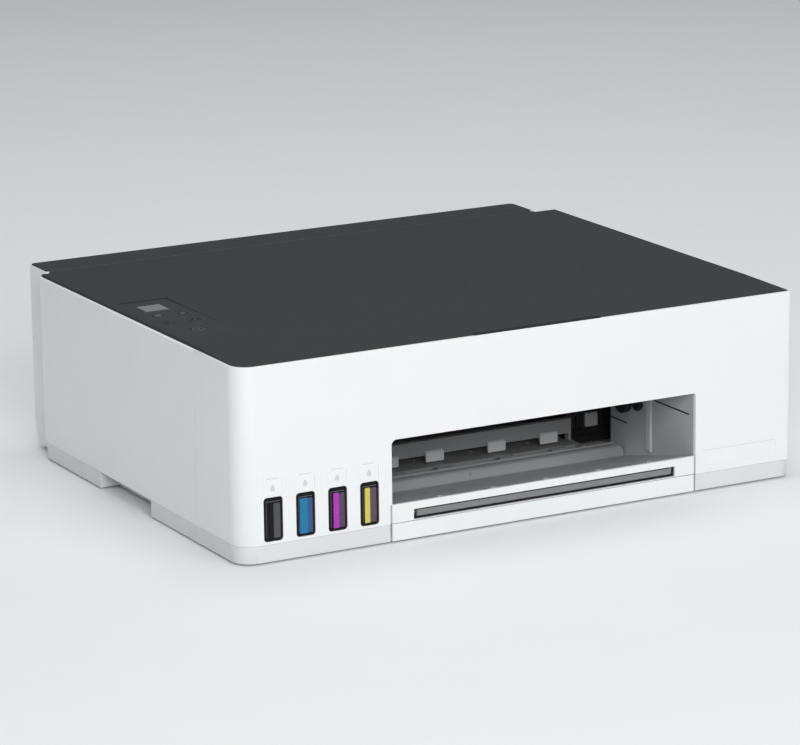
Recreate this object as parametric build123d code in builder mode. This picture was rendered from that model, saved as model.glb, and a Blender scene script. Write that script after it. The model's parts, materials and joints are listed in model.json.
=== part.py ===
from build123d import *
from math import cos, pi, radians, sin
import os

# Compact A4 ink-tank printer, millimetres. X runs left to right seen from the front,
# Y from the front (-) to the back (+), Z up. Places along the depth are given from the
# front face and turned into Y by at(). Places along X are given from a line LEFT mm inside
# the left wall; write() moves each piece so that the origin is the centre of the footprint.

# Housing
WIDTH = 438.7
LEFT = -217.35              # outside of the left wall
RIGHT = LEFT + WIDTH
MIDDLE = (LEFT + RIGHT) / 2
DEPTH = 361.5
HEIGHT = 137.8
MAIN_DEPTH = 323.5          # the wide part of the body; the paper feeder stands behind it
FOOT = 1.5                  # rubber feet under the base
RING_TOP = 13.5             # seam between the base and the shell
RIM_TOP = 136.3             # top of the white walls
WALL = 2.0
FRONT_R = 14.0              # upright front left corner
FRONT_RIGHT_R = 4.5         # upright front right corner
RING_RIGHT_R = 8.5          # the same corner of the base
RIM_R = 0.8                 # rounded outer edge of the rims
REAR_R = 3.0                # upright corners at the back of the wide part
RING_INSET = 0.4            # the base stands this far inside the shell
PAN = 2.5                   # floor of the base
FIT = 0.35                  # gap between fixed shell parts
FRONT_CLEAR = RING_INSET + WALL + FIT   # room for the tray front in the base
SIDE_SEAM = 65.0            # depth of the seam between the front cover and a side panel
FEEDER_LEFT = -208.55
FEEDER_RIGHT = 202.85
FEEDER_BOTTOM = 3.5
FEEDER_HEEL = (7.5, 29.0)    # the lower back of the feeder leans in by the first, up to the second
GRIP = (140.0, 224.5)       # depth range of the hand grips
GRIP_REACH = 14.6

# Front opening and paper path
BAY = (-102.35, 140.15)
BAY_TOP = 72.5
BAY_DEPTH = 113.0
LIP_TOP = 27.0
TRAY_SEAM = 1.5             # gap at each side of the tray front
FLOOR_SLOPE = 0.2268        # fall of the output floor towards the back
FLOOR_END = 92.0
PAPER_MID = 19.0            # middle of the paper across the body
PAPER_HALF = 105.0          # half of an A4 sheet
PAPER_PLANE = 15.0
SLOT_X = (-85.85, 123.15)
SLOT_Z = (14.5, 21.8)
EXTENDER_X = (SLOT_X[0] + 3.0, SLOT_X[1] - 3.0)

# Ink
TANK_PITCH = 24.2
TANK_FIRST = -192.15
TANK_NAMES = ("black", "cyan", "magenta", "yellow")
TANK_WIDTH = 21.0
TANK_TOP = 93.0
WINDOW = (14.4, 30.6)
WINDOW_Z = 15.4
CAP_HINGE = 46.0            # depth of the cap hinges
PORT = 30.0                 # depth of the filling ports

# Cover
HINGE_DEPTH = 325.7
HINGE_Z = 133.8
KNUCKLE_R = 4.0
COVER_THICK = 3.8
CREASE = 57.5               # the cover slopes down in front of this depth
FRONT_DROP = 1.4
NOTCH = (-36.85, 63.65)
NOTCH_DEPTH = 8.3

# Moving parts
RUNNING = 0.05              # radial clearance of shafts
CLEAR = 0.3                 # clearance between pieces that slide past each other
RAIL_Y = 191.5
ROD_DEPTH = 172.0
ROD_Z = 60.0
ROD_R = 4.5
PARKED = (112.0, 205.0)     # the carriage at its parking place
CARRIAGE = (130.0, 185.0)
ROLLER = (196.0, 23.5, 8.0)     # depth, height and radius of the feed roller
EXIT = (106.0, 11.0, 4.0)
PICKUP = (323.7, 37.3, 13.0)
FEED_TEETH = 24
PINION_TEETH = 12
FRAME_LEFT = -208.0
FRAME_RIGHT = 212.0
FRAME_THICK = 1.6
BELT_Z = 75.0
PULLEY_R = 6.0
BELT_THICK = 1.2
PULLEY_X = (-194.0, 196.0)

os.makedirs("parts", exist_ok=True)


def at(depth):
    """Y of a place given by its distance from the front face."""
    return depth - DEPTH / 2


def slab(x, d, z, mode=Mode.ADD):
    """A block between two places along each direction, the second one along the depth."""
    with Locations((x[0], at(d[0]), z[0])):
        Box(x[1] - x[0], d[1] - d[0], z[1] - z[0], align=Align.MIN, mode=mode)


def rod(x, d, z, radius, mode=Mode.ADD):
    """A round bar along X."""
    with BuildSketch(Plane.YZ.offset(x[0])) as section:
        with Locations((at(d), z)):
            Circle(radius)
    extrude(section.sketch, amount=x[1] - x[0], mode=mode)


def stub(x, d, z, radius, mode=Mode.ADD):
    """A round bar along Y, between two depths."""
    with BuildSketch(Plane.XZ.offset(-at(d[1]))) as section:
        with Locations((x, z)):
            Circle(radius)
    extrude(section.sketch, amount=d[1] - d[0], mode=mode)


def post(x, d, z, radius, mode=Mode.ADD):
    """A round bar standing up."""
    with BuildSketch(Plane.XY.offset(z[0])) as section:
        with Locations((x, at(d))):
            Circle(radius)
    extrude(section.sketch, amount=z[1] - z[0], mode=mode)


def prism(points, x, mode=Mode.ADD):
    """A side profile, given as (depth, height) points, extruded across the body."""
    with BuildSketch(Plane.YZ.offset(x[0])) as profile:
        with BuildLine():
            Polyline(*[(at(d), z) for d, z in points], close=True)
        make_face()
    extrude(profile.sketch, amount=x[1] - x[0], mode=mode)


def body_outline(inset, left_radius, right_radius, rear_radius, rear_inset=0.0):
    """The wide part of the body seen from above, with different front corners."""
    with BuildSketch(mode=Mode.PRIVATE) as outline:
        length = MAIN_DEPTH - inset - rear_inset
        with Locations((MIDDLE, at(inset + length / 2))):
            Rectangle(WIDTH - 2 * inset, length)
        fillet(outline.vertices().group_by(Axis.Y)[0].sort_by(Axis.X)[0], left_radius)
        fillet(outline.vertices().group_by(Axis.Y)[0].sort_by(Axis.X)[-1], right_radius)
        fillet(outline.vertices().group_by(Axis.Y)[-1], rear_radius)
    return outline.sketch


def raise_outline(outline, z, mode=Mode.ADD):
    """An outline extruded between two heights."""
    extrude(Plane.XY.offset(z[0]) * outline, amount=z[1] - z[0], mode=mode)


def toothed_outline(teeth, module, bore, backlash=0.35, turn=0.0):
    """A gear seen along its axis: straight-sided teeth on a round blank."""
    pitch_radius = module * teeth / 2
    root = pitch_radius - 1.25 * module
    tip = pitch_radius + 0.9 * module
    half = module * pi / 4 - backlash / 2
    root_half = half + 0.42 * module
    tip_half = half - 0.34 * module
    with BuildSketch(mode=Mode.PRIVATE) as gear:
        Circle(root)
        with PolarLocations(0, teeth, start_angle=turn):
            with BuildLine():
                Polyline((root - 0.5 * module, -root_half), (root, -root_half), (tip, -tip_half),
                         (tip, tip_half), (root, root_half), (root - 0.5 * module, root_half), close=True)
            make_face()
        if bore:
            Circle(bore, mode=Mode.SUBTRACT)
    return gear.sketch


def write(piece, name):
    """Name a finished piece and save it."""
    placed = Pos(-MIDDLE, 0, 0) * piece.part
    placed.label = name
    export_step(placed, f"parts/{name}.step")


# ---------------------------------------------------------------- housing
RING_BACK_INSET = 3.0
RING_REAR_R = 3.0
ring_outline = body_outline(RING_INSET, FRONT_R - RING_INSET, RING_RIGHT_R, RING_REAR_R, RING_BACK_INSET)
ring_inside = body_outline(RING_INSET + WALL, FRONT_R - RING_INSET - WALL, RING_RIGHT_R - WALL,
                           RING_REAR_R - WALL, RING_BACK_INSET + WALL)
TRAY_FRONT = (BAY[0], BAY[1] - TRAY_SEAM + 0.2)
GRIP_ROOF = RING_TOP + PAN

with BuildPart() as base_tray:
    raise_outline(ring_outline, (FOOT, RING_TOP))
    raise_outline(ring_inside, (FOOT + PAN, RING_TOP), Mode.SUBTRACT)
    slab((TRAY_FRONT[0] - TRAY_SEAM, TRAY_FRONT[1] + TRAY_SEAM), (0, FRONT_CLEAR), (0, RING_TOP),
         Mode.SUBTRACT)
    for side_x, inward in ((LEFT, 1), (RIGHT, -1)):
        outer = side_x + inward * (WALL + FIT)
        reach = side_x + inward * (RING_INSET + GRIP_REACH)
        inner = reach + inward * WALL
        slab((min(outer, inner), max(outer, inner)), (GRIP[0] - WALL, GRIP[1] + WALL), (FOOT, GRIP_ROOF))
        slab((min(side_x, reach), max(side_x, reach)), GRIP, (0, RING_TOP), Mode.SUBTRACT)
        seam_x = side_x + inward * RING_INSET
        slab((seam_x - 0.5, seam_x + 0.5), (SIDE_SEAM, SIDE_SEAM + 0.6), (0, RING_TOP), Mode.SUBTRACT)
    for rib in (-204.0, -156.0, -112.0):
        slab((rib, rib + WALL), (12, 108), (FOOT + PAN, RING_TOP - 0.5))
    for saddle in (-190.0, -166.0):
        slab((saddle, saddle + 4), (201.5, 220), (FOOT + PAN, 24.5))
    rod((-190.5, -161.5), ROLLER[0] + 18 * cos(radians(50)), ROLLER[1] + 18 * sin(radians(50)), 14.0,
        Mode.SUBTRACT)
    for boss_x in (146.0, 198.0):
        for boss_d in (246.0, 306.0):
            post(boss_x, boss_d, (FOOT + PAN, 10.0), 3.5)
write(base_tray, "base_tray")

shell_outline = body_outline(0, FRONT_R, FRONT_RIGHT_R, REAR_R)
shell_inside = body_outline(WALL, FRONT_R - WALL, FRONT_RIGHT_R - WALL, REAR_R - WALL, WALL)
WINDOW_XS = [TANK_FIRST + index * TANK_PITCH for index in range(len(TANK_NAMES))]
LABEL_HEIGHT = 12.4
SCOOP = (124.0, 128.4)      # lowest point and floor of the finger scoop

with BuildPart() as front_cover:
    raise_outline(shell_outline, (RING_TOP, RIM_TOP))
    fillet(front_cover.edges().group_by(Axis.Z)[-1], RIM_R)
    raise_outline(shell_inside, (RING_TOP, RIM_TOP), Mode.SUBTRACT)
    slab((LEFT - 1, RIGHT + 1), (SIDE_SEAM, MAIN_DEPTH + 1), (RING_TOP - 1, RIM_TOP + 1), Mode.SUBTRACT)
    slab((TRAY_FRONT[0] - TRAY_SEAM, TRAY_FRONT[1] + TRAY_SEAM), (-1, WALL + 1), (RING_TOP - 1, LIP_TOP),
         Mode.SUBTRACT)
    with BuildSketch(Plane.XZ.offset(-at(WALL + 1))) as mouth:
        with Locations(((BAY[0] + BAY[1]) / 2, (LIP_TOP + BAY_TOP - 5) / 2)):
            Rectangle(BAY[1] - BAY[0], BAY_TOP - LIP_TOP + 5)
        fillet(mouth.vertices().group_by(Axis.Y)[-1].sort_by(Axis.X)[0], 4.0)
        fillet(mouth.vertices().group_by(Axis.Y)[-1].sort_by(Axis.X)[-1], 2.0)
    extrude(mouth.sketch, amount=WALL + 2, mode=Mode.SUBTRACT)
    with BuildSketch(Plane.XZ.offset(-at(WALL + 1))) as windows:
        with Locations(*[(x, WINDOW_Z + WINDOW[1] / 2) for x in WINDOW_XS]):
            RectangleRounded(WINDOW[0], WINDOW[1], 2.5)
    extrude(windows.sketch, amount=WALL + 2, mode=Mode.SUBTRACT)
    with BuildSketch(Plane.XZ.offset(-at(0.5))) as pads:
        with Locations(*[(x, WINDOW_Z + WINDOW[1] + 0.4 + LABEL_HEIGHT / 2) for x in WINDOW_XS]):
            RectangleRounded(WINDOW[0], LABEL_HEIGHT, 2.0)
        with Locations((176.9, 24.45)):
            RectangleRounded(61.5, 11.1, 1.0)
    extrude(pads.sketch, amount=1, mode=Mode.SUBTRACT)
    prism([(WALL, SCOOP[0]), (10.5, SCOOP[0]), (10.5, SCOOP[1]), (WALL, RIM_TOP - 1)], NOTCH)
    prism([(1.0, RIM_TOP), (1.0, RIM_TOP + 1), (WALL + 0.1, RIM_TOP + 1), (WALL + 0.1, RIM_TOP - 1)], NOTCH,
          Mode.SUBTRACT)
write(front_cover, "front_cover")

for name, keep in (("left_side_panel", (LEFT - 1, FEEDER_LEFT - 0.2)),
                   ("right_side_panel", (FEEDER_RIGHT + 0.2, RIGHT + 1))):
    with BuildPart() as side_panel:
        raise_outline(shell_outline, (RING_TOP, RIM_TOP))
        fillet(side_panel.edges().group_by(Axis.Z)[-1], RIM_R)
        raise_outline(shell_inside, (RING_TOP, RIM_TOP), Mode.SUBTRACT)
        with BuildSketch(Plane.XY.offset(RING_TOP)) as part_kept:
            with Locations(((keep[0] + keep[1]) / 2, at((SIDE_SEAM + 0.6 + MAIN_DEPTH) / 2))):
                Rectangle(keep[1] - keep[0], MAIN_DEPTH - SIDE_SEAM - 0.6)
        extrude(part_kept.sketch, amount=RIM_TOP - RING_TOP, mode=Mode.INTERSECT)
    write(side_panel, name)

FEEDER_FRONT = MAIN_DEPTH - WALL - 0.4
STRIP_Z = HEIGHT - 3.3      # underside of the cap of the rear tray
LIP = (330.0, 331.0)        # light strip between the cover and the rear tray
CAP_WALL = 0.9              # thin white walls beside the cap of the rear tray
CAP_WALL_TOP = HEIGHT - 0.4
TRAY_PLATE = (352.6, 355.6)
TRAY_X = (-100.0, 138.0)
INLET = (-170.0, 42.0)
USB = (168.0, 40.0)
SCREW_R = 2.6
SCREWS = [(x, z) for x in (FEEDER_LEFT + 10, FEEDER_RIGHT - 10) for z in (38.0, 118.0)]

with BuildPart() as rear_housing:
    with BuildSketch(Plane.XY.offset(FEEDER_BOTTOM)) as feeder:
        with Locations(((FEEDER_LEFT + FEEDER_RIGHT) / 2, at((FEEDER_FRONT + DEPTH) / 2))):
            Rectangle(FEEDER_RIGHT - FEEDER_LEFT, DEPTH - FEEDER_FRONT)
        fillet(feeder.vertices().group_by(Axis.Y)[-1], 4.0)
    extrude(feeder.sketch, amount=CAP_WALL_TOP - FEEDER_BOTTOM)
    slab((FEEDER_LEFT - 1, FEEDER_RIGHT + 1), (FEEDER_FRONT - 1, LIP[0] - 0.8), (RIM_TOP, HEIGHT), Mode.SUBTRACT)
    heel_lean = FEEDER_HEEL[0] / (FEEDER_HEEL[1] - FEEDER_BOTTOM)
    with BuildSketch(Plane.XY.offset(FEEDER_BOTTOM + 2.4)) as hollow:
        with Locations(((FEEDER_LEFT + FEEDER_RIGHT) / 2, at((FEEDER_FRONT + DEPTH) / 2 - 2.2))):
            Rectangle(FEEDER_RIGHT - FEEDER_LEFT - 4.4, DEPTH - FEEDER_FRONT)
        fillet(hollow.vertices().group_by(Axis.Y)[-1], 1.8)
    extrude(hollow.sketch, amount=RIM_TOP, mode=Mode.SUBTRACT)
    prism([(DEPTH - FEEDER_HEEL[0] - 2.4, FEEDER_BOTTOM), (DEPTH - 2.4, FEEDER_HEEL[1]), (DEPTH - 0.5, FEEDER_HEEL[1]),
           (DEPTH - 0.5, FEEDER_BOTTOM)], (FEEDER_LEFT + 1, FEEDER_RIGHT - 1))
    prism([(DEPTH - FEEDER_HEEL[0] - heel_lean, FEEDER_BOTTOM - 1), (DEPTH + heel_lean, FEEDER_HEEL[1] + 1),
           (DEPTH + heel_lean, FEEDER_BOTTOM - 1)], (FEEDER_LEFT - 1, FEEDER_RIGHT + 1), Mode.SUBTRACT)
    slab((FEEDER_LEFT + CAP_WALL, FEEDER_RIGHT - CAP_WALL), (LIP[1], DEPTH + 1), (STRIP_Z - 0.2, HEIGHT),
         Mode.SUBTRACT)
    slab((FEEDER_LEFT, FEEDER_RIGHT), LIP, (128.0, HEIGHT - 0.5))
    rod((FEEDER_LEFT - 1, FEEDER_LEFT + 3), HINGE_DEPTH, HINGE_Z, 1.5, Mode.SUBTRACT)
    rod((FEEDER_RIGHT - 3, FEEDER_RIGHT + 1), HINGE_DEPTH, HINGE_Z, 1.5, Mode.SUBTRACT)
    for guide in (TRAY_X[0] - 2.3, TRAY_X[1] + 0.3):
        slab((guide, guide + WALL), (TRAY_PLATE[0] - 1, DEPTH - 2), (30, STRIP_Z - 4))
    with BuildSketch(Plane.XZ.offset(-at(DEPTH + 1))) as sockets:
        with Locations((INLET[0], INLET[1])):
            Rectangle(22, 14)
        with Locations((USB[0], USB[1])):
            Rectangle(13, 12)
    extrude(sockets.sketch, amount=5, mode=Mode.SUBTRACT)
    with BuildSketch(Plane.XZ.offset(-at(DEPTH + 1))) as vents:
        with Locations((INLET[0] + 2, 92)):
            with GridLocations(0, 6, 1, 6):
                SlotOverall(46, 2.4)
    extrude(vents.sketch, amount=5, mode=Mode.SUBTRACT)
    for screw_x, screw_z in SCREWS:
        stub(screw_x, (DEPTH - 5, DEPTH + 1), screw_z, SCREW_R + RUNNING, Mode.SUBTRACT)
write(rear_housing, "rear_housing")

with BuildPart() as feet:
    for foot_x in (-188.0, 188.0):
        for foot_d in (28.0, 292.0):
            post(foot_x, foot_d, (0, FOOT), 8.0)
    fillet(feet.edges().group_by(Axis.Z)[0], 0.6)
write(feet, "feet")

# ---------------------------------------------------------------- output bay
floor_end = LIP_TOP - FLOOR_SLOPE * FLOOR_END
FLOOR_THICK = 1.6
BAR_RIGHT = 138.0

with BuildPart() as output_tray_front:
    slab(TRAY_FRONT, (0, WALL), (RING_TOP + 0.6, LIP_TOP))
    slab(TRAY_FRONT, (0.8, WALL), (FOOT, RING_TOP + 0.6))
    slab(TRAY_FRONT, (0, WALL), (FOOT, RING_TOP))
    fillet(output_tray_front.edges().filter_by(Axis.X).group_by(Axis.Z)[-1].sort_by(Axis.Y)[0], 0.8)
    slab(SLOT_X, (-1, WALL + 1), SLOT_Z, Mode.SUBTRACT)
write(output_tray_front, "output_tray_front")

with BuildPart() as output_floor:
    prism([(WALL, LIP_TOP - FLOOR_SLOPE * WALL), (FLOOR_END, floor_end), (FLOOR_END, floor_end - FLOOR_THICK),
           (WALL, LIP_TOP - FLOOR_SLOPE * WALL - FLOOR_THICK)], (BAY[0] + 0.05, BAY[1] - 0.5))
    for rib in (BAY[0] + 3, BAY[1] - 6):
        prism([(68, FOOT + PAN), (68, LIP_TOP - FLOOR_SLOPE * 68 - FLOOR_THICK / 2), (88, floor_end - 0.4),
               (88, FOOT + PAN)], (rib, rib + 2))
    slab((BAR_RIGHT + 0.4, BAY[1] - 0.5), (FLOOR_END - 1, BAY_DEPTH - 0.5), (floor_end - FLOOR_THICK, floor_end))
    slab((112.6, BAY[1] - 0.5), (EXIT[0] - 3, BAY_DEPTH - 0.5), (floor_end - FLOOR_THICK, floor_end))
    for rail in (EXTENDER_X[0] - 2.4, EXTENDER_X[1] + 0.4):
        rail_ends = [(d, LIP_TOP - FLOOR_SLOPE * d - FLOOR_THICK) for d in (4, 60)]
        prism([(d, z + 0.5) for d, z in rail_ends] + [(d, z - 7.2) for d, z in rail_ends[::-1]], (rail, rail + 2))
    bump_d = 7.0
    for bump in (-62.0, -20.0, 22.0, 64.0, 106.0):
        bump_z = LIP_TOP - FLOOR_SLOPE * bump_d
        prism([(bump_d - 3, bump_z + 0.4), (bump_d, bump_z + 1.0), (bump_d + 3, bump_z - 0.4),
               (bump_d, bump_z - 1.0)], (bump - 2, bump + 2))
write(output_floor, "output_floor")

with BuildPart() as output_bay:
    slab((BAY[0] - WALL, BAY[0]), (WALL, BAY_DEPTH), (FOOT + PAN, BAY_TOP + WALL))
    slab((BAY[1] - 0.45, BAY[1] + WALL), (WALL, BAY_DEPTH), (FOOT + PAN, BAY_TOP + WALL))
    slab((BAY[0] - WALL, BAY[1] + WALL), (WALL, BAY_DEPTH), (BAY_TOP, BAY_TOP + WALL))
    slab((BAY[1] - 1.6, BAY[1]), (57, 63), (16.5, BAY_TOP + 1))
    slab((BAY[0] - 0.1, BAY[0] + 1.2), (57, 63), (16.5, BAY_TOP + 1))
    groove = 0.7
    slab((BAY[1] - 0.45, BAY[1] - 0.45 + groove), (7.5, 55), (54.8, 56.0), Mode.SUBTRACT)
    slab((BAY[1] - 0.45, BAY[1] - 0.45 + groove), (90, BAY_DEPTH), (29.8, 31.0), Mode.SUBTRACT)
    slab((BAY[0] - groove, BAY[0]), (7.5, 55), (54.8, 56.0), Mode.SUBTRACT)
    slab((BAY[0] - WALL, BAY[1] + WALL), (0, FRONT_CLEAR), (0, RING_TOP + FIT), Mode.SUBTRACT)
write(output_bay, "output_bay")

with BuildPart() as exit_bar:
    bar_x = (BAY[0] + 0.05, BAR_RIGHT)
    prism([(FLOOR_END + 0.1, FOOT + PAN), (FLOOR_END + 0.1, floor_end + 0.4), (93.5, 12.6), (95.0, 13.6),
           (98.5, 14.2), (98.9, 13.0), (99.9, 13.0), (100.3, 14.4), (101.6, 14.4), (101.6, FOOT + PAN)], bar_x)
    slab((BAY[0], BAR_RIGHT), (93.6, 101.6), (FOOT + PAN - 1, 11.4), Mode.SUBTRACT)
    for rib in (-100.0, 10.0, 118.0):
        slab((rib, rib + 2), (92.6, 101.4), (FOOT + PAN, 12))
    with BuildSketch(Plane.XZ.offset(-at(103))) as bevel:
        with BuildLine():
            Polyline((BAR_RIGHT + 0.5, 10.0), (BAR_RIGHT + 0.5, 15.0), (BAR_RIGHT - 4.5, 15.0), close=True)
        make_face()
    extrude(bevel.sketch, amount=20, mode=Mode.SUBTRACT)
write(exit_bar, "exit_bar")

TAB_XS = (-40.5, -3.5, 47.3, 90.8)
BEAM = (121.2, 127.0)
BEAM_Z = (20.0, 31.0)
with BuildPart() as exit_beam:
    slab((BAY[0] - 1, 111.0), BEAM, BEAM_Z)
    slab((BAY[0] - 1, 111.0), (BEAM[0] + WALL, BEAM[1] + 1), (BEAM_Z[0] - 1, BEAM_Z[1] - WALL), Mode.SUBTRACT)
    for rib in [BAY[0] - 1, 108.0] + [x + 18.5 for x in TAB_XS[:3]]:
        slab((rib, rib + 2), BEAM, BEAM_Z)
    slab((BAY[0] - 1, BAY[0] + 1), BEAM, (FOOT + PAN, BEAM_Z[0] + 0.5))
    slab((109.0, 111.0), BEAM, (FOOT + PAN, BEAM_Z[0] + 0.5))
    for arm in (BAY[0] + 0.2, 109.0):
        slab((arm, arm + 2), (EXIT[0] - 4.1, BEAM[1]), (5.0, 15.0))
        rod((arm - 1, arm + 3), EXIT[0], EXIT[1], 2.0 + RUNNING, Mode.SUBTRACT)
write(exit_beam, "exit_beam")

with BuildPart() as paper_tabs:
    for tab in TAB_XS:
        prism([(118.4, 15.6), (119.4, 15.6), (BEAM[0], 21.0), (BEAM[0], 23.4), (119.8, 23.4), (118.4, 22.4)],
              (tab - 7.3, tab + 7.3))
write(paper_tabs, "paper_tabs")

with BuildPart() as platen:
    slab((PAPER_MID - 114, 108.6), (110.8, 186), (FOOT + PAN, PAPER_PLANE - 0.8))
    slab((PAPER_MID - 112, 106.6), (112.8, 184), (FOOT + PAN - 1, PAPER_PLANE - 2.8), Mode.SUBTRACT)
    for rib in range(9):
        rib_x = PAPER_MID - 104 + rib * 23.5
        slab((rib_x, rib_x + 1.6), (131, 184), (PAPER_PLANE - 0.8, PAPER_PLANE))
    for row in (140, 166):
        slab((PAPER_MID - 110, 104.6), (row, row + 8), (PAPER_PLANE - 1.8, PAPER_PLANE + 1), Mode.SUBTRACT)
write(platen, "platen")

RAMP_R = 50.0
RAMP_MID = (300.0, 65.0)
with BuildPart() as paper_ramp:
    with BuildSketch(Plane.YZ.offset(PAPER_MID - 114)) as ramp:
        with BuildLine():
            outer = RAMP_R + 2
            Line((at(215), RAMP_MID[1] - RAMP_R), (at(RAMP_MID[0]), RAMP_MID[1] - RAMP_R))
            CenterArc((at(RAMP_MID[0]), RAMP_MID[1]), RAMP_R, -90, 90)
            Line((at(RAMP_MID[0] + RAMP_R), RAMP_MID[1]), (at(RAMP_MID[0] + RAMP_R), 72))
            Line((at(RAMP_MID[0] + RAMP_R), 72), (at(RAMP_MID[0] + outer), 72))
            Line((at(RAMP_MID[0] + outer), 72), (at(RAMP_MID[0] + outer), RAMP_MID[1]))
            CenterArc((at(RAMP_MID[0]), RAMP_MID[1]), outer, 0, -90)
            Line((at(RAMP_MID[0]), RAMP_MID[1] - outer), (at(215), RAMP_MID[1] - outer))
            Line((at(215), RAMP_MID[1] - outer), (at(215), RAMP_MID[1] - RAMP_R))
        make_face()
    extrude(ramp.sketch, amount=228)
    for rib in (PAPER_MID - 114, PAPER_MID - 1, PAPER_MID + 112):
        slab((rib, rib + 2), (216, 314), (FOOT + PAN, PAPER_PLANE - 1.9))
    rim = [(RAMP_MID[0] + (RAMP_R + 1) * cos(radians(turn)), RAMP_MID[1] + (RAMP_R + 1) * sin(radians(turn)))
           for turn in range(-90, 0, 10)]
    for cheek in (PAPER_MID - 114, PAPER_MID + 112):
        prism(rim + [(PICKUP[0] + 8, PICKUP[1] + 14), (PICKUP[0] - 8, PICKUP[1] + 6)], (cheek, cheek + 2))
        rod((cheek - 1, cheek + 3), PICKUP[0], PICKUP[1], 3.0 + RUNNING, Mode.SUBTRACT)
write(paper_ramp, "paper_ramp")

# ---------------------------------------------------------------- inner frame
RAIL_THICK = 1.5
RAIL_Z = (34.0, 93.5)
FRAME_Z = (GRIP_ROOF, 96.0)

with BuildPart() as carriage_rail:
    slab((FRAME_LEFT + FRAME_THICK, FRAME_RIGHT), (RAIL_Y, RAIL_Y + RAIL_THICK), RAIL_Z)
    slab((FRAME_LEFT + FRAME_THICK, FRAME_RIGHT), (RAIL_Y - 12, RAIL_Y + RAIL_THICK),
         (RAIL_Z[1] - RAIL_THICK, RAIL_Z[1]))
    slab((-150, FRAME_RIGHT), (RAIL_Y, RAIL_Y + 10), (RAIL_Z[0] - RAIL_THICK, RAIL_Z[0]))
    slab((-200, -191), (RAIL_Y - 1, RAIL_Y + 3), (RAIL_Z[0] - 1, 40), Mode.SUBTRACT)
    stub(PULLEY_X[1], (RAIL_Y - 1, RAIL_Y + 3), BELT_Z, 4.0, Mode.SUBTRACT)
    stub(PULLEY_X[0], (RAIL_Y - 6, RAIL_Y), BELT_Z, 2.0)
    with BuildSketch(Plane.XZ.offset(-at(RAIL_Y + 3))) as lightening:
        with Locations((0, 52)):
            with GridLocations(56, 0, 6, 1):
                SlotOverall(34, 10)
    extrude(lightening.sketch, amount=4, mode=Mode.SUBTRACT)
write(carriage_rail, "carriage_rail")

FRAME_OUTLINE = [(124, FRAME_Z[0]), (250, FRAME_Z[0]), (250, 58), (214, FRAME_Z[1]), (140, FRAME_Z[1]), (124, 80)]
for name, start in (("left_frame", FRAME_LEFT), ("right_frame", FRAME_RIGHT)):
    with BuildPart() as frame_plate:
        plate_x = (start, start + FRAME_THICK)
        prism(FRAME_OUTLINE, plate_x)
        rod((start - 1, start + 3), ROD_DEPTH, ROD_Z, ROD_R, Mode.SUBTRACT)
        rod((start - 1, start + 3), ROLLER[0], ROLLER[1], 3.0 + RUNNING, Mode.SUBTRACT)
        rod((start - 1, start + 3), 145, 60, 9.0, Mode.SUBTRACT)
        rod((start - 1, start + 3), 228, 40, 8.0, Mode.SUBTRACT)
    write(frame_plate, name)

with BuildPart() as guide_rod:
    rod((FRAME_LEFT, FRAME_RIGHT + FRAME_THICK), ROD_DEPTH, ROD_Z, ROD_R)
write(guide_rod, "guide_rod")

pinion_d = ROLLER[0] + 18 * cos(radians(50))
pinion_z = ROLLER[1] + 18 * sin(radians(50))
with BuildPart() as feed_motor:
    rod((-190, -162), pinion_d, pinion_z, 13.9)
    rod((-192, -190), pinion_d, pinion_z, 5.0)
    rod((-198.3, -192), pinion_d, pinion_z, 1.5)
    rod((-162, -159.5), pinion_d, pinion_z, 4.0)
write(feed_motor, "feed_motor")

with BuildPart() as carriage_motor:
    stub(PULLEY_X[1], (194, 222), BELT_Z, 13.0)
    stub(PULLEY_X[1], (RAIL_Y + RAIL_THICK, 194), BELT_Z, 5.5)
    stub(PULLEY_X[1], (RAIL_Y - 5.5, RAIL_Y + RAIL_THICK), BELT_Z, 1.5)
write(carriage_motor, "carriage_motor")

BELT_D = (186.6, 190.2)
with BuildPart() as drive_belt:
    with BuildSketch(Plane.XZ.offset(-at(BELT_D[1]))) as loop:
        with Locations(((PULLEY_X[0] + PULLEY_X[1]) / 2, BELT_Z)):
            SlotCenterToCenter(PULLEY_X[1] - PULLEY_X[0], 2 * (PULLEY_R + 0.3 + BELT_THICK))
            SlotCenterToCenter(PULLEY_X[1] - PULLEY_X[0], 2 * (PULLEY_R + 0.3), mode=Mode.SUBTRACT)
    extrude(loop.sketch, amount=BELT_D[1] - BELT_D[0])
write(drive_belt, "drive_belt")

for name, place, bore in (("motor_pulley", PULLEY_X[1], 1.5), ("idler_pulley", PULLEY_X[0], 2.0)):
    with BuildPart() as pulley:
        stub(place, (BELT_D[0] - 0.3, BELT_D[1] + 0.3), BELT_Z, PULLEY_R)
        stub(place, (BELT_D[0] - 0.3, BELT_D[1] + 0.3), BELT_Z, bore + RUNNING, Mode.SUBTRACT)
        with BuildSketch(Plane.XZ.offset(-at(BELT_D[1]))) as grooves:
            with PolarLocations(PULLEY_R, 20):
                Circle(0.45)
        grooves_here = Pos(place, 0, BELT_Z) * grooves.sketch
        extrude(grooves_here, amount=BELT_D[1] - BELT_D[0], mode=Mode.SUBTRACT)
    write(pulley, name)

with BuildPart() as main_board:
    slab((140, 204), (240, 312), (10.0, 11.6))
    for chip_x, chip_d, chip_w, chip_h in ((165, 268, 18, 2.0), (186, 262, 10, 1.4), (160, 294, 12, 6.0),
                                           (190, 296, 8, 8.0), (148, 250, 6, 5.0)):
        slab((chip_x - chip_w / 2, chip_x + chip_w / 2), (chip_d - chip_w / 2, chip_d + chip_w / 2),
             (11.6, 11.6 + chip_h))
    for hole_x in (146.0, 198.0):
        for hole_d in (246.0, 306.0):
            post(hole_x, hole_d, (9, 13), 1.6, Mode.SUBTRACT)
write(main_board, "main_board")

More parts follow.
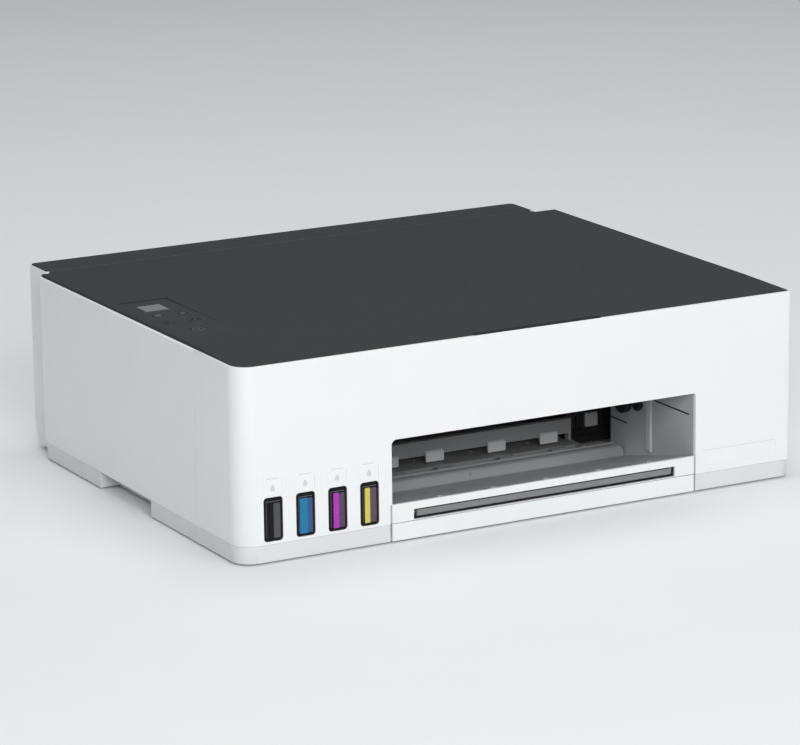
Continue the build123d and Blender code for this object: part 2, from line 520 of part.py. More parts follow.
with BuildPart() as power_supply:
    slab((-205, -118), (232, 314), (FOOT + PAN, 44))
    fillet(power_supply.edges().filter_by(Axis.Z), 3)
    fillet(power_supply.edges().group_by(Axis.Z)[-1], 1.5)
write(power_supply, "power_supply")

with BuildPart() as power_inlet:
    slab((INLET[0] - 10.8, INLET[0] + 10.8), (345, DEPTH - 0.3), (INLET[1] - 6.8, INLET[1] + 6.8))
    slab((INLET[0] - 13, INLET[0] + 13), (345, DEPTH - 2.4), (INLET[1] - 9, INLET[1] + 9))
    with BuildSketch(Plane.XZ.offset(-at(DEPTH))) as socket:
        with Locations((INLET[0], INLET[1])):
            SlotOverall(15.5, 9.0)
    extrude(socket.sketch, amount=12, mode=Mode.SUBTRACT)
    for pin_x in (-4, 4):
        stub(INLET[0] + pin_x, (345, DEPTH - 3), INLET[1], 1.2)
write(power_inlet, "power_inlet")

with BuildPart() as usb_socket:
    slab((USB[0] - 6.2, USB[0] + 6.2), (344, DEPTH - 0.5), (USB[1] - 5.7, USB[1] + 5.7))
    slab((USB[0] - 4.4, USB[0] + 4.4), (348, DEPTH), (USB[1] - 4.0, USB[1] + 4.0), Mode.SUBTRACT)
    slab((USB[0] - 2.8, USB[0] + 2.8), (348, DEPTH - 3), (USB[1] - 1.6, USB[1] + 1.6))
write(usb_socket, "usb_socket")

# ---------------------------------------------------------------- ink supply
NECK_TOP = TANK_TOP + 4.0
NIPPLE_D = (95.0, 102.0)
TUBE_Z = 97.5
TUBE_R = 1.6

for name, middle in zip(TANK_NAMES, WINDOW_XS):
    tank_x = (middle - TANK_WIDTH / 2, middle + TANK_WIDTH / 2)
    with BuildPart() as tank:
        slab(tank_x, (6, 108), (RING_TOP - 0.5, TANK_TOP))
        fillet(tank.edges().filter_by(Axis.Z), 2.0)
        with BuildSketch(Plane.XZ.offset(-at(6.5))) as boss:
            with Locations((middle, WINDOW_Z + WINDOW[1] / 2)):
                RectangleRounded(WINDOW[0] - 0.6, WINDOW[1] - 0.6, 2.2)
        extrude(boss.sketch, amount=5.9)
        slab((tank_x[0] + 1.4, tank_x[1] - 1.4), (7.4, 106.6), (RING_TOP + 0.9, TANK_TOP - 1.4), Mode.SUBTRACT)
        with BuildSketch(Plane.XZ.offset(-at(8))) as boss_hollow:
            with Locations((middle, WINDOW_Z + WINDOW[1] / 2)):
                RectangleRounded(WINDOW[0] - 3.0, WINDOW[1] - 3.0, 1.4)
        extrude(boss_hollow.sketch, amount=6.2, mode=Mode.SUBTRACT)
        post(middle, PORT, (TANK_TOP - 1.4, NECK_TOP), 5.5)
        post(middle, PORT, (TANK_TOP - 2, NECK_TOP + 1), 4.0, Mode.SUBTRACT)
        slab((middle - 3, middle + 3), NIPPLE_D, (TANK_TOP - 1, TUBE_Z + 2.6))
        for ear in (-6.4, 4.4):
            slab((middle + ear, middle + ear + 2), (CAP_HINGE - 2, CAP_HINGE + 2), (TANK_TOP - 1, NECK_TOP + 2))
        rod((middle - 5, middle + 5), CAP_HINGE, NECK_TOP, 1.0)
    write(tank, f"tank_{name}")

    with BuildPart() as cap:
        post(middle, PORT, (NECK_TOP + 0.1, NECK_TOP + 4), 7.5)
        fillet(cap.edges().group_by(Axis.Z)[-1], 1.2)
        post(middle, PORT, (NECK_TOP - 3, NECK_TOP + 0.1), 3.3)
        slab((middle - 3.6, middle + 3.6), (PORT + 5, CAP_HINGE), (NECK_TOP + 0.4, NECK_TOP + 2.2))
        rod((middle - 3.6, middle + 3.6), CAP_HINGE, NECK_TOP, 2.2)
        rod((middle - 4, middle + 4), CAP_HINGE, NECK_TOP, 1.0 + RUNNING, Mode.SUBTRACT)
    write(cap, f"cap_{name}")

CLIP_X = (4.0, 14.0)
with BuildPart() as ink_tubes:
    for index, middle in enumerate(WINDOW_XS):
        lane = at(197.0 - 4.0 * index)
        start = (middle, at(NIPPLE_D[1]), TUBE_Z)
        with BuildLine() as route:
            FilletPolyline(start, (middle, lane, TUBE_Z), (CLIP_X[1] + 2, lane, TUBE_Z), radius=28)
        with BuildSketch(Plane(origin=start, z_dir=(0, 1, 0))) as bore:
            Circle(TUBE_R)
        sweep(bore.sketch, path=route.line)
write(ink_tubes, "ink_tubes")

with BuildPart() as tube_clip:
    slab(CLIP_X, (182.0, 200.0), (RAIL_Z[1], TUBE_Z + 3))
    for index in range(len(TANK_NAMES)):
        rod((CLIP_X[0] - 1, CLIP_X[1] + 1), 197.0 - 4.0 * index, TUBE_Z, TUBE_R + RUNNING, Mode.SUBTRACT)
write(tube_clip, "tube_clip")

# ---------------------------------------------------------------- cover and controls
COVER_GAP = 0.35
EDGE_SLOPE = 1.2            # bevel along the sides of the cover
cover_outline = body_outline(WALL + COVER_GAP, FRONT_R - WALL - COVER_GAP, FRONT_RIGHT_R - WALL - COVER_GAP,
                             REAR_R - WALL - COVER_GAP, 3.2)
KNUCKLE_X = (FEEDER_LEFT + 2.2 + 0.4, FEEDER_RIGHT - 2.2 - 0.4)
PANEL_X = (-206.95, -168.95)
PANEL_D = (95.0, 209.0)
PANEL_FLOOR = HEIGHT - 1.3
PANEL_DIP = 0.5
BUTTONS = {"power_button": (20.0, 162.0, 4.2, 3.4), "cancel_button": (38.0, 160.0, 4.0, 3.2),
           "paper_button": (18.0, 138.0, 4.6, 3.2), "network_button": (37.0, 138.0, 4.6, 3.2),
           "copy_button": (27.0, 112.0, 6.0, 4.2)}
DISPLAY_X = (LEFT + 18.5, LEFT + 36.0)
DISPLAY_D = (177.0, 194.5)
KEY_TOP = HEIGHT - 0.2
KEY_GAP = 0.3
front_edge = WALL + COVER_GAP

with BuildPart() as top_cover:
    prism([(front_edge, HEIGHT - FRONT_DROP - COVER_THICK), (front_edge, HEIGHT - FRONT_DROP), (CREASE, HEIGHT),
           (HINGE_DEPTH, HEIGHT), (HINGE_DEPTH, HEIGHT - COVER_THICK), (CREASE, HEIGHT - COVER_THICK)],
          (LEFT, RIGHT))
    with BuildSketch(Plane.XY.offset(HEIGHT - 12)) as limits:
        add(cover_outline)
        with Locations(((KNUCKLE_X[0] + KNUCKLE_X[1]) / 2, at((300 + HINGE_DEPTH) / 2))):
            Rectangle(KNUCKLE_X[1] - KNUCKLE_X[0], HINGE_DEPTH - 300)
    extrude(limits.sketch, amount=14, mode=Mode.INTERSECT)
    slab((LEFT + front_edge, RIGHT - front_edge), (MAIN_DEPTH - 6, MAIN_DEPTH - 0.2), (RIM_TOP + 0.3, HEIGHT))
    for side_x, inward in ((LEFT, 1), (RIGHT, -1)):
        edge = side_x + inward * front_edge
        with BuildSketch(Plane.XZ.offset(-at(MAIN_DEPTH))) as side_slope:
            with BuildLine():
                Polyline((edge, HEIGHT - EDGE_SLOPE), (side_x, HEIGHT - EDGE_SLOPE), (side_x, HEIGHT + 1),
                         (edge + inward * (EDGE_SLOPE + 1), HEIGHT + 1), close=True)
            make_face()
        extrude(side_slope.sketch, amount=MAIN_DEPTH, mode=Mode.SUBTRACT)
    rod(KNUCKLE_X, HINGE_DEPTH, HINGE_Z, KNUCKLE_R)
    rod((KNUCKLE_X[0] - 1, KNUCKLE_X[0] + 7), HINGE_DEPTH, HINGE_Z, 1.5 + RUNNING, Mode.SUBTRACT)
    rod((KNUCKLE_X[1] - 7, KNUCKLE_X[1] + 1), HINGE_DEPTH, HINGE_Z, 1.5 + RUNNING, Mode.SUBTRACT)
    with BuildSketch(Plane.XY.offset(HEIGHT - 8)) as notch:
        with Locations(((NOTCH[0] + NOTCH[1]) / 2, at(NOTCH_DEPTH / 2 - 2))):
            Rectangle(NOTCH[1] - NOTCH[0], NOTCH_DEPTH + 4)
        fillet(notch.vertices().group_by(Axis.Y)[-1], 1.5)
    extrude(notch.sketch, amount=10, mode=Mode.SUBTRACT)
    slab(PANEL_X, PANEL_D, (PANEL_FLOOR, HEIGHT + 1), Mode.SUBTRACT)
    with BuildSketch(Plane.XY.offset(HEIGHT - 8)) as key_holes:
        for key_x, key_d, half_w, half_d in BUTTONS.values():
            with Locations((LEFT + key_x, at(key_d))):
                Ellipse(half_w + KEY_GAP, half_d + KEY_GAP)
    extrude(key_holes.sketch, amount=10, mode=Mode.SUBTRACT)
write(top_cover, "top_cover")

with BuildPart() as control_panel:
    prism([(PANEL_D[0] + 0.1, PANEL_FLOOR), (PANEL_D[0] + 0.1, HEIGHT), (PANEL_D[1] - 0.1, HEIGHT - PANEL_DIP),
           (PANEL_D[1] - 0.1, PANEL_FLOOR)], (PANEL_X[0] + 0.1, PANEL_X[1] - 0.1))
    extrude(key_holes.sketch, amount=10, mode=Mode.SUBTRACT)
    slab((DISPLAY_X[0] - 0.1, DISPLAY_X[1] + 0.1), (DISPLAY_D[0] - 0.1, DISPLAY_D[1] + 0.1),
         (PANEL_FLOOR - 1, HEIGHT), Mode.SUBTRACT)
write(control_panel, "control_panel")

with BuildPart() as display_window:
    slab(DISPLAY_X, DISPLAY_D, (PANEL_FLOOR, HEIGHT - PANEL_DIP + 0.05))
write(display_window, "display_window")

for name, (key_x, key_d, half_w, half_d) in BUTTONS.items():
    with BuildPart() as button:
        with BuildSketch(Plane.XY.offset(HEIGHT - COVER_THICK - 0.4)) as key:
            with Locations((LEFT + key_x, at(key_d))):
                Ellipse(half_w, half_d)
        extrude(amount=KEY_TOP - HEIGHT + COVER_THICK + 0.4)
        fillet(button.edges().group_by(Axis.Z)[-1], 0.3)
        with BuildSketch(Plane.XY.offset(HEIGHT - COVER_THICK - 1.5)) as flange:
            with Locations((LEFT + key_x, at(key_d))):
                Ellipse(half_w + 1.4, half_d + 1.4)
        extrude(amount=1.1)
    write(button, name)

with BuildPart() as hinge_pins:
    rod((FEEDER_LEFT + 0.3, KNUCKLE_X[0] + 6), HINGE_DEPTH, HINGE_Z, 1.5)
    rod((KNUCKLE_X[1] - 6, FEEDER_RIGHT - 0.3), HINGE_DEPTH, HINGE_Z, 1.5)
write(hinge_pins, "hinge_pins")

# ---------------------------------------------------------------- rear paper feeder
PINION_Z = 90.0
RACK_D = (348.9, 351.9)
RACK_H = 5.0
RACK_MODULE = 1.0
GUIDE_TEETH = 12
FENCE_D = (337.0, 348.6)
CAP_GAP = 0.3
rack_pitch_radius = RACK_MODULE * GUIDE_TEETH / 2

with BuildPart() as rear_tray:
    with BuildSketch(Plane.XY.offset(STRIP_Z)) as cap_outline:
        with Locations(((FEEDER_LEFT + FEEDER_RIGHT) / 2, at((LIP[1] + CLEAR + DEPTH) / 2))):
            Rectangle(FEEDER_RIGHT - FEEDER_LEFT - 2 * (CAP_WALL + CAP_GAP), DEPTH - LIP[1] - CLEAR)
        fillet(cap_outline.vertices().group_by(Axis.Y)[-1], 4.0)
    extrude(cap_outline.sketch, amount=HEIGHT - STRIP_Z)
    fillet(rear_tray.edges().group_by(Axis.Z)[-1].sort_by(Axis.Y)[-3:], 0.6)
    slab(TRAY_X, TRAY_PLATE, (32, STRIP_Z))
    stub(PAPER_MID, (RACK_D[0], TRAY_PLATE[0]), PINION_Z, 2.0)
write(rear_tray, "rear_tray")


def guide_rack(x, pitch_z, outward):
    """A toothed bar along X; outward is the side of the pitch line that its body lies on."""
    root = pitch_z + outward * 1.25 * RACK_MODULE
    back = root + outward * RACK_H
    slab(x, RACK_D, (min(root, back), max(root, back)))
    pitch = pi * RACK_MODULE
    half = pitch / 4 - 0.175
    first = PAPER_MID + pitch / 2
    steps = [step for step in range(-60, 61) if x[0] + 2 < first + step * pitch < x[1] - 2]
    tip = pitch_z - outward * 0.9 * RACK_MODULE
    with BuildSketch(Plane.XZ.offset(-at(RACK_D[1]))) as teeth:
        for step in steps:
            middle = first + step * pitch
            with BuildLine():
                Polyline((middle - half - 0.42, root), (middle - half + 0.34, tip), (middle + half - 0.34, tip),
                         (middle + half + 0.42, root), (middle + half + 0.42, root + outward * 0.5),
                         (middle - half - 0.42, root + outward * 0.5), close=True)
            make_face()
    extrude(teeth.sketch, amount=RACK_D[1] - RACK_D[0])


GUIDE_LEFT = PAPER_MID - PAPER_HALF
GUIDE_RIGHT = PAPER_MID + PAPER_HALF
for name, fence, rack_x, side in (("left_paper_guide", (GUIDE_LEFT - 3, GUIDE_LEFT),
                                   (GUIDE_LEFT - 3, PAPER_MID + 10), 1),
                                  ("right_paper_guide", (GUIDE_RIGHT, GUIDE_RIGHT + 3),
                                   (PAPER_MID - 10, GUIDE_RIGHT + 3), -1)):
    with BuildPart() as paper_guide:
        slab(fence, FENCE_D, (76.0, 128.0))
        pitch_line = PINION_Z + side * rack_pitch_radius
        guide_rack(rack_x, pitch_line, side)
        bar = (pitch_line + side * 1.25 * RACK_MODULE, pitch_line + side * (1.25 * RACK_MODULE + RACK_H))
        slab(fence, (FENCE_D[1] - 1, RACK_D[1]), (min(bar), max(bar)))
    write(paper_guide, name)

with BuildPart() as guide_pinion:
    wheel = toothed_outline(GUIDE_TEETH, RACK_MODULE, 2.0 + RUNNING, turn=90.0)
    place = Plane(origin=(PAPER_MID, at(RACK_D[1]), PINION_Z), x_dir=(1, 0, 0), z_dir=(0, -1, 0))
    extrude(place * wheel, amount=RACK_D[1] - RACK_D[0])
write(guide_pinion, "guide_pinion")

# ---------------------------------------------------------------- output tray extension
EXTENDER_TOP = 20.9
EXTENDER_LONG = 56.0
EXTENDER_THICK = 1.9
with BuildPart() as output_extender:
    prism([(0.2, EXTENDER_TOP), (EXTENDER_LONG, EXTENDER_TOP - FLOOR_SLOPE * EXTENDER_LONG),
           (EXTENDER_LONG, EXTENDER_TOP - FLOOR_SLOPE * EXTENDER_LONG - EXTENDER_THICK),
           (3.4, EXTENDER_TOP - FLOOR_SLOPE * 3.4 - EXTENDER_THICK), (3.4, 16.0), (0.3, 16.6)], EXTENDER_X)
    for slot_x in (-38.0, 0.0, 38.0):
        slab((PAPER_MID + slot_x - 12, PAPER_MID + slot_x + 12), (18, 44), (2, 24), Mode.SUBTRACT)
write(output_extender, "output_extender")

# ---------------------------------------------------------------- print carriage
HEAD_PITCH = 42.0
HEAD_BOTTOM = 17.0
SLED_DROP = 3.0
with BuildPart() as carriage:
    slab(PARKED, (CARRIAGE[0], 163), (20.0, 84.0))
    slab((PARKED[0] + 2, PARKED[1] - 2), (CARRIAGE[0] + 2, 161), (22.0, 85.0), Mode.SUBTRACT)
    slab((PARKED[0] + 5, PARKED[1] - 5), (CARRIAGE[0] + 3, 158), (19.0, 23.0), Mode.SUBTRACT)
    slab((PARKED[0] + 6, PARKED[1] - 6), (162, 182), (48.0, 72.0))
    rod((PARKED[0], PARKED[1]), ROD_DEPTH, ROD_Z, ROD_R + RUNNING, Mode.SUBTRACT)
    slab((150, 167), (180, 190.4), (64.5, BELT_Z - PULLEY_R - 0.3 - BELT_THICK - CLEAR))
write(carriage, "carriage")

with BuildPart() as print_heads:
    for shift in (0, 1):
        head_x = PARKED[0] + 4.5 + shift * (HEAD_PITCH + 0.6)
        slab((head_x, head_x + HEAD_PITCH - 1), (132.6, 158.4), (24.0, 80.0))
        slab((head_x + 4, head_x + HEAD_PITCH - 5), (136, 155), (HEAD_BOTTOM, 24.0))
write(print_heads, "print_heads")

with BuildPart() as carriage_lid:
    slab((PARKED[0], PARKED[1]), (CARRIAGE[0], 163), (84.0, 86.4))
    fillet(carriage_lid.edges().group_by(Axis.Z)[-1], 0.8)
    slab((PARKED[0] + 30, PARKED[0] + 63), (CARRIAGE[0] + 4, CARRIAGE[0] + 12), (85.6, 88.0), Mode.SUBTRACT)
write(carriage_lid, "carriage_lid")

with BuildPart() as service_sled:
    slab((PARKED[0] + 1, 199.6), (133, 163), (FOOT + PAN + SLED_DROP + CLEAR, 12.0))
    slab((PARKED[0] + 3, 197.6), (135, 161), (9.4, 13.0), Mode.SUBTRACT)
    for shift in (0, 1):
        head_x = PARKED[0] + 4.5 + shift * (HEAD_PITCH + 0.6)
        slab((head_x + 3, head_x + HEAD_PITCH - 6), (135.5, 155.5), (8.4, 16.4))
        slab((head_x + 5, head_x + HEAD_PITCH - 8), (137.5, 153.5), (14.0, 17.0), Mode.SUBTRACT)
write(service_sled, "service_sled")

# ---------------------------------------------------------------- paper rollers
ROLLER_X = (PAPER_MID - 112, PAPER_MID + 110)
GEAR_X = (-198.0, -193.0)
GEAR_MODULE = 1.0
with BuildPart() as feed_roller:
    rod(ROLLER_X, ROLLER[0], ROLLER[1], ROLLER[2])
    rod((FRAME_LEFT - 0.6, FRAME_RIGHT + FRAME_THICK + 0.6), ROLLER[0], ROLLER[1], 3.0)
    gear_plane = Plane(origin=(GEAR_X[0], at(ROLLER[0]), ROLLER[1]), x_dir=(0, 1, 0), z_dir=(1, 0, 0))
    feed_gear = toothed_outline(FEED_TEETH, GEAR_MODULE, 0, turn=50.0)
    extrude(gear_plane * feed_gear, amount=GEAR_X[1] - GEAR_X[0])
write(feed_roller, "feed_roller")

with BuildPart() as feed_pinion:
    pinion_plane = Plane(origin=(GEAR_X[0] + 0.2, at(pinion_d), pinion_z), x_dir=(0, 1, 0), z_dir=(1, 0, 0))
    small_gear = toothed_outline(PINION_TEETH, GEAR_MODULE, 1.5 + RUNNING, turn=50.0 + 180.0 / PINION_TEETH)
    extrude(pinion_plane * small_gear, amount=GEAR_X[1] - GEAR_X[0] - 0.4)
write(feed_pinion, "feed_pinion")

with BuildPart() as exit_roller:
    rod((BAY[0] + 0.4, 110.8), EXIT[0], EXIT[1], 2.0)
    for tyre in TAB_XS:
        rod((tyre - 6, tyre + 6), EXIT[0], EXIT[1], EXIT[2])
write(exit_roller, "exit_roller")

with BuildPart() as pickup_roller:
    rod((PAPER_MID - 114.2, PAPER_MID + 114.2), PICKUP[0], PICKUP[1], 3.0)
    for tyre in (-34.0, 34.0):
        rod((PAPER_MID + tyre - 9, PAPER_MID + tyre + 9), PICKUP[0], PICKUP[1], PICKUP[2])
write(pickup_roller, "pickup_roller")

# ---------------------------------------------------------------- screws
with BuildPart() as screws:
    for screw_x, screw_z in SCREWS:
        stub(screw_x, (DEPTH - 2.2, DEPTH - 0.4), screw_z, SCREW_R)
        stub(screw_x, (DEPTH - 10, DEPTH - 2.2), screw_z, 1.4)
        for arm in ((2.8, 0.7), (0.7, 2.8)):
            slab((screw_x - arm[0] / 2, screw_x + arm[0] / 2), (DEPTH - 1.4, DEPTH),
                 (screw_z - arm[1] / 2, screw_z + arm[1] / 2), Mode.SUBTRACT)
write(screws, "screws")
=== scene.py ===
"""Looks of the ink-tank printer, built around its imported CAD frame."""
import json
import math

import bmesh
import bpy
from mathutils import Matrix, Vector


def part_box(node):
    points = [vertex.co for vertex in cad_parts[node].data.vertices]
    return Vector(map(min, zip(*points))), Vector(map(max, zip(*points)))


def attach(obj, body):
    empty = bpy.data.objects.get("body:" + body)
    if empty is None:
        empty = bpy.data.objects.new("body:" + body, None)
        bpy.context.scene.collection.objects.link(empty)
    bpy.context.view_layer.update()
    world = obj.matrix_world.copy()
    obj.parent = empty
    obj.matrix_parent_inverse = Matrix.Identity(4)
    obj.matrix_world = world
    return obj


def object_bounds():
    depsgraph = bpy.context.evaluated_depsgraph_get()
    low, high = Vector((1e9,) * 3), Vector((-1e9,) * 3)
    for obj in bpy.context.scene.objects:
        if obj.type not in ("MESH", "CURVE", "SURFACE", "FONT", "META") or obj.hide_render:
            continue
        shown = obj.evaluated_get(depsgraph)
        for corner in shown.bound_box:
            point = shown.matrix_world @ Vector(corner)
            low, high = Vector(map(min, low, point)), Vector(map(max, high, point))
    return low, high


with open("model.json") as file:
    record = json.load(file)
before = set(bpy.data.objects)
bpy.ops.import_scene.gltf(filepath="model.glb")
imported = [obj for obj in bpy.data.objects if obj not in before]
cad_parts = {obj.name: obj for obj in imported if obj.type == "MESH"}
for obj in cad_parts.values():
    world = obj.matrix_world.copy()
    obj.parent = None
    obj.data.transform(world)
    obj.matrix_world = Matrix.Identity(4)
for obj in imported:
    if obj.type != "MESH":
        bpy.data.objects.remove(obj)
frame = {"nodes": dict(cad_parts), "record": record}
cad_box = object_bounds()
NODES = frame["nodes"]
LOW, HIGH = cad_box
MM = 0.001
OFFSET = 2.0  # millimetres from the origin of x to the middle of the machine
RIGHT, BACK, UP = Vector((1, 0, 0)), Vector((0, 1, 0)), Vector((0, 0, 1))
INKS = ("black", "cyan", "magenta", "yellow")


# ---------------------------------------------------------------- places
def place(x, depth, z):
    """A point from millimetres: x from 2 mm left of the middle, depth from the front, z from the ground."""
    return Vector(((x - OFFSET) * MM, LOW.y + depth * MM, z * MM))


def span(node_name):
    """A CAD node's ranges of x, depth and z, in the millimetres that place() takes."""
    low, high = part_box(node_name)
    return ((low.x / MM + OFFSET, high.x / MM + OFFSET), ((low.y - LOW.y) / MM, (high.y - LOW.y) / MM),
            (low.z / MM, high.z / MM))


def on_node(node_name, x, depth, z):
    """Ranges measured from a CAD node's low corner, turned into ranges that place() takes."""
    return tuple((low + start, low + end) for (low, _), (start, end) in zip(span(node_name), (x, depth, z)))


def top_of(node_name):
    """The middle of a CAD node's highest face, in metres."""
    low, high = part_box(node_name)
    return Vector(((low.x + high.x) / 2, (low.y + high.y) / 2, high.z))


# ---------------------------------------------------------------- outlines
def arc(centre, radius, start, steps):
    """Points of a quarter circle, from a start angle in degrees."""
    turns = [math.radians(start + 90 * step / steps) for step in range(steps + 1)]
    return [(centre[0] + radius * math.cos(turn), centre[1] + radius * math.sin(turn)) for turn in turns]


def rounded(half_width, half_height, radius, steps=6):
    """Points of a rounded rectangle round the origin."""
    points = []
    for quarter, (sx, sy) in enumerate(((1, 1), (-1, 1), (-1, -1), (1, -1))):
        corner = (sx * (half_width - radius), sy * (half_height - radius))
        points += arc(corner, radius, 90 * quarter, steps)
    return points


def column(half, low, high, steps=5):
    """An upright column with softly rounded upper corners."""
    radius = min(half, 0.9)
    points = [(-half, low), (half, low)]
    for side, start in ((1, 0), (-1, 90)):
        points += arc((side * (half - radius), high - radius), radius, start, steps)
    return points


def oval(half_width, half_depth, steps):
    """Points of an oval round the origin."""
    turns = [2 * math.pi * step / steps for step in range(steps)]
    return [(half_width * math.cos(turn), half_depth * math.sin(turn)) for turn in turns]


def drop(size, steps=28):
    """Points of an ink drop round the origin: a circle below, drawn up to a point."""
    points = []
    for step in range(steps):
        turn = 2 * math.pi * step / steps
        pull = max(0.0, math.sin(turn)) ** 6
        points.append((size * math.cos(turn) * (1 - 0.2 * pull), size * (math.sin(turn) + 0.85 * pull)))
    return points


# ---------------------------------------------------------------- mesh helpers
def soften(piece, width, angle=35):
    """Small rounded edges, as a mould leaves them."""
    bevel = piece.modifiers.new("soft_edges", "BEVEL")
    bevel.width = width * MM
    bevel.segments = 2
    bevel.limit_method = "ANGLE"
    bevel.angle_limit = math.radians(angle)
    bevel.use_clamp_overlap = True
    bevel.harden_normals = False


def new_piece(name, mesh, body, material, bevel=0.0):
    """A visible piece that rides on a body, with its look and its softened edges."""
    piece = bpy.data.objects.new(name, mesh)
    bpy.context.scene.collection.objects.link(piece)
    mesh.materials.append(material)
    if bevel:
        soften(piece, bevel)
    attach(piece, body)


def finish_mesh(name, maker, smooth_angle=None):
    """A mesh from a bmesh; faces are smooth where smooth_angle is given."""
    mesh = bpy.data.meshes.new(name)
    bmesh.ops.recalc_face_normals(maker, faces=maker.faces)
    maker.to_mesh(mesh)
    maker.free()
    if smooth_angle is not None:
        mesh.shade_smooth()
        mesh.set_sharp_from_angle(angle=math.radians(smooth_angle))
    return mesh


def add_block(maker, low, high):
    """A closed block between two corners, added to a bmesh."""
    size = high - low
    matrix = Matrix.Translation((low + high) / 2) @ Matrix.Diagonal((*size, 1))
    bmesh.ops.create_cube(maker, size=1.0, matrix=matrix)


def add_bar(maker, start, end, radius, sides=24):
    """A closed round bar between two points, added to a bmesh."""
    axis = end - start
    turn = axis.to_track_quat("Z", "Y").to_matrix().to_4x4()
    matrix = Matrix.Translation((start + end) / 2) @ turn
    bmesh.ops.create_cone(maker, cap_ends=True, segments=sides, radius1=radius, radius2=radius,
                          depth=axis.length, matrix=matrix)


def join_rings(maker, rings):
    """Faces from each ring of vertices to the next, and from the last back to the first."""
    count = len(rings[0])
    for one, two in zip(rings, rings[1:] + rings[:1]):
        for i in range(count):
            j = (i + 1) % count
            maker.faces.new((one[i], one[j], two[j], two[i]))


def blocks(name, ranges, body, look, bevel):
    """Soft-edged blocks as one piece, each given by its ranges of x, depth and z in millimetres."""
    maker = bmesh.new()
    for x, depth, z in ranges:
        add_block(maker, place(x[0], depth[0], z[0]), place(x[1], depth[1], z[1]))
    new_piece(name, finish_mesh(name, maker), body, look, bevel)


def block(name, x, depth, z, body, look, slot, bevel):
    """One soft-edged block between two places along each direction, in millimetres."""
    blocks(name, [(x, depth, z)], body, look, bevel)


def plate(name, outline, origin, low, high, body, look, bevel=0.05, up=UP, outwards=-BACK):
    """A thin plate: an outline in millimetres round origin, pushed from low to high outwards."""
    maker = bmesh.new()
    rings = []
    for level in (low, high):
        rings.append([maker.verts.new(origin + RIGHT * (u * MM) + up * (v * MM) + outwards * (level * MM))
                      for u, v in outline])
    count = len(outline)
    maker.faces.new(rings[0][::-1])
    maker.faces.new(rings[1])
    for i in range(count):
        j = (i + 1) % count
        maker.faces.new((rings[0][i], rings[0][j], rings[1][j], rings[1][i]))
    new_piece(name, finish_mesh(name, maker, 30), body, look, bevel)


def oval_ring(name, centre, outer, inner, thick, body, look, steps=40):
    """A flat oval ring lying on a key; outer and inner are half sizes in millimetres."""
    maker = bmesh.new()
    rings = []
    for half, level in ((outer, 0), (outer, thick), (inner, thick), (inner, 0)):
        rings.append([maker.verts.new(centre + RIGHT * (u * MM) + BACK * (v * MM) + UP * (level * MM))
                      for u, v in oval(*half, steps)])
    join_rings(maker, rings)
    new_piece(name, finish_mesh(name, maker, 40), body, look)


# ---------------------------------------------------------------- materials
NOISE_LOW, NOISE_HIGH = 0.3, 0.7  # nearly all values of a noise texture lie between these
EDGE_REACH = 0.6  # how far from an edge its paler colour shows, in millimetres


def node(tree, kind, **settings):
    """A shader node; each setting fills an input of that name, or else an attribute."""
    made = tree.nodes.new(kind)
    for key, value in settings.items():
        if key in made.inputs:
            made.inputs[key].default_value = value
        else:
            setattr(made, key, value)
    return made


def set_inputs(made, **values):
    """Input values by name; an underscore stands for a space."""
    for key, value in values.items():
        made.inputs[key.replace("_", " ")].default_value = value


def mottled(tree, slow, color, mottle):
    """The colour, slowly wavering between slightly darker and slightly lighter."""
    shades = node(tree, "ShaderNodeValToRGB")
    darker, lighter = shades.color_ramp.elements
    darker.position, lighter.position = NOISE_LOW, NOISE_HIGH
    darker.color = (*[c * (1 - mottle) for c in color], 1)
    lighter.color = (*[min(1.0, c * (1 + mottle)) for c in color], 1)
    tree.links.new(slow.outputs["Fac"], shades.inputs["Fac"])
    return shades.outputs["Color"]


def with_pale_edges(tree, base, color, edge):
    """The base colour, mixed with a paler one where the surface turns sharply."""
    rounding = node(tree, "ShaderNodeBevel", samples=4)
    set_inputs(rounding, Radius=EDGE_REACH * MM)
    surface = node(tree, "ShaderNodeNewGeometry")
    agreement = node(tree, "ShaderNodeVectorMath", operation="DOT_PRODUCT")
    tree.links.new(rounding.outputs["Normal"], agreement.inputs[0])
    tree.links.new(surface.outputs["Normal"], agreement.inputs[1])
    worn = node(tree, "ShaderNodeMapRange")
    set_inputs(worn, From_Min=0.98, From_Max=0.75, To_Max=edge)
    tree.links.new(agreement.outputs["Value"], worn.inputs["Value"])
    paler = node(tree, "ShaderNodeMix", data_type="RGBA")
    paler.inputs["B"].default_value = (*[c + (1 - c) * 0.45 for c in color], 1)
    tree.links.new(worn.outputs["Result"], paler.inputs["Factor"])
    tree.links.new(base, paler.inputs["A"])
    return paler.outputs["Result"]


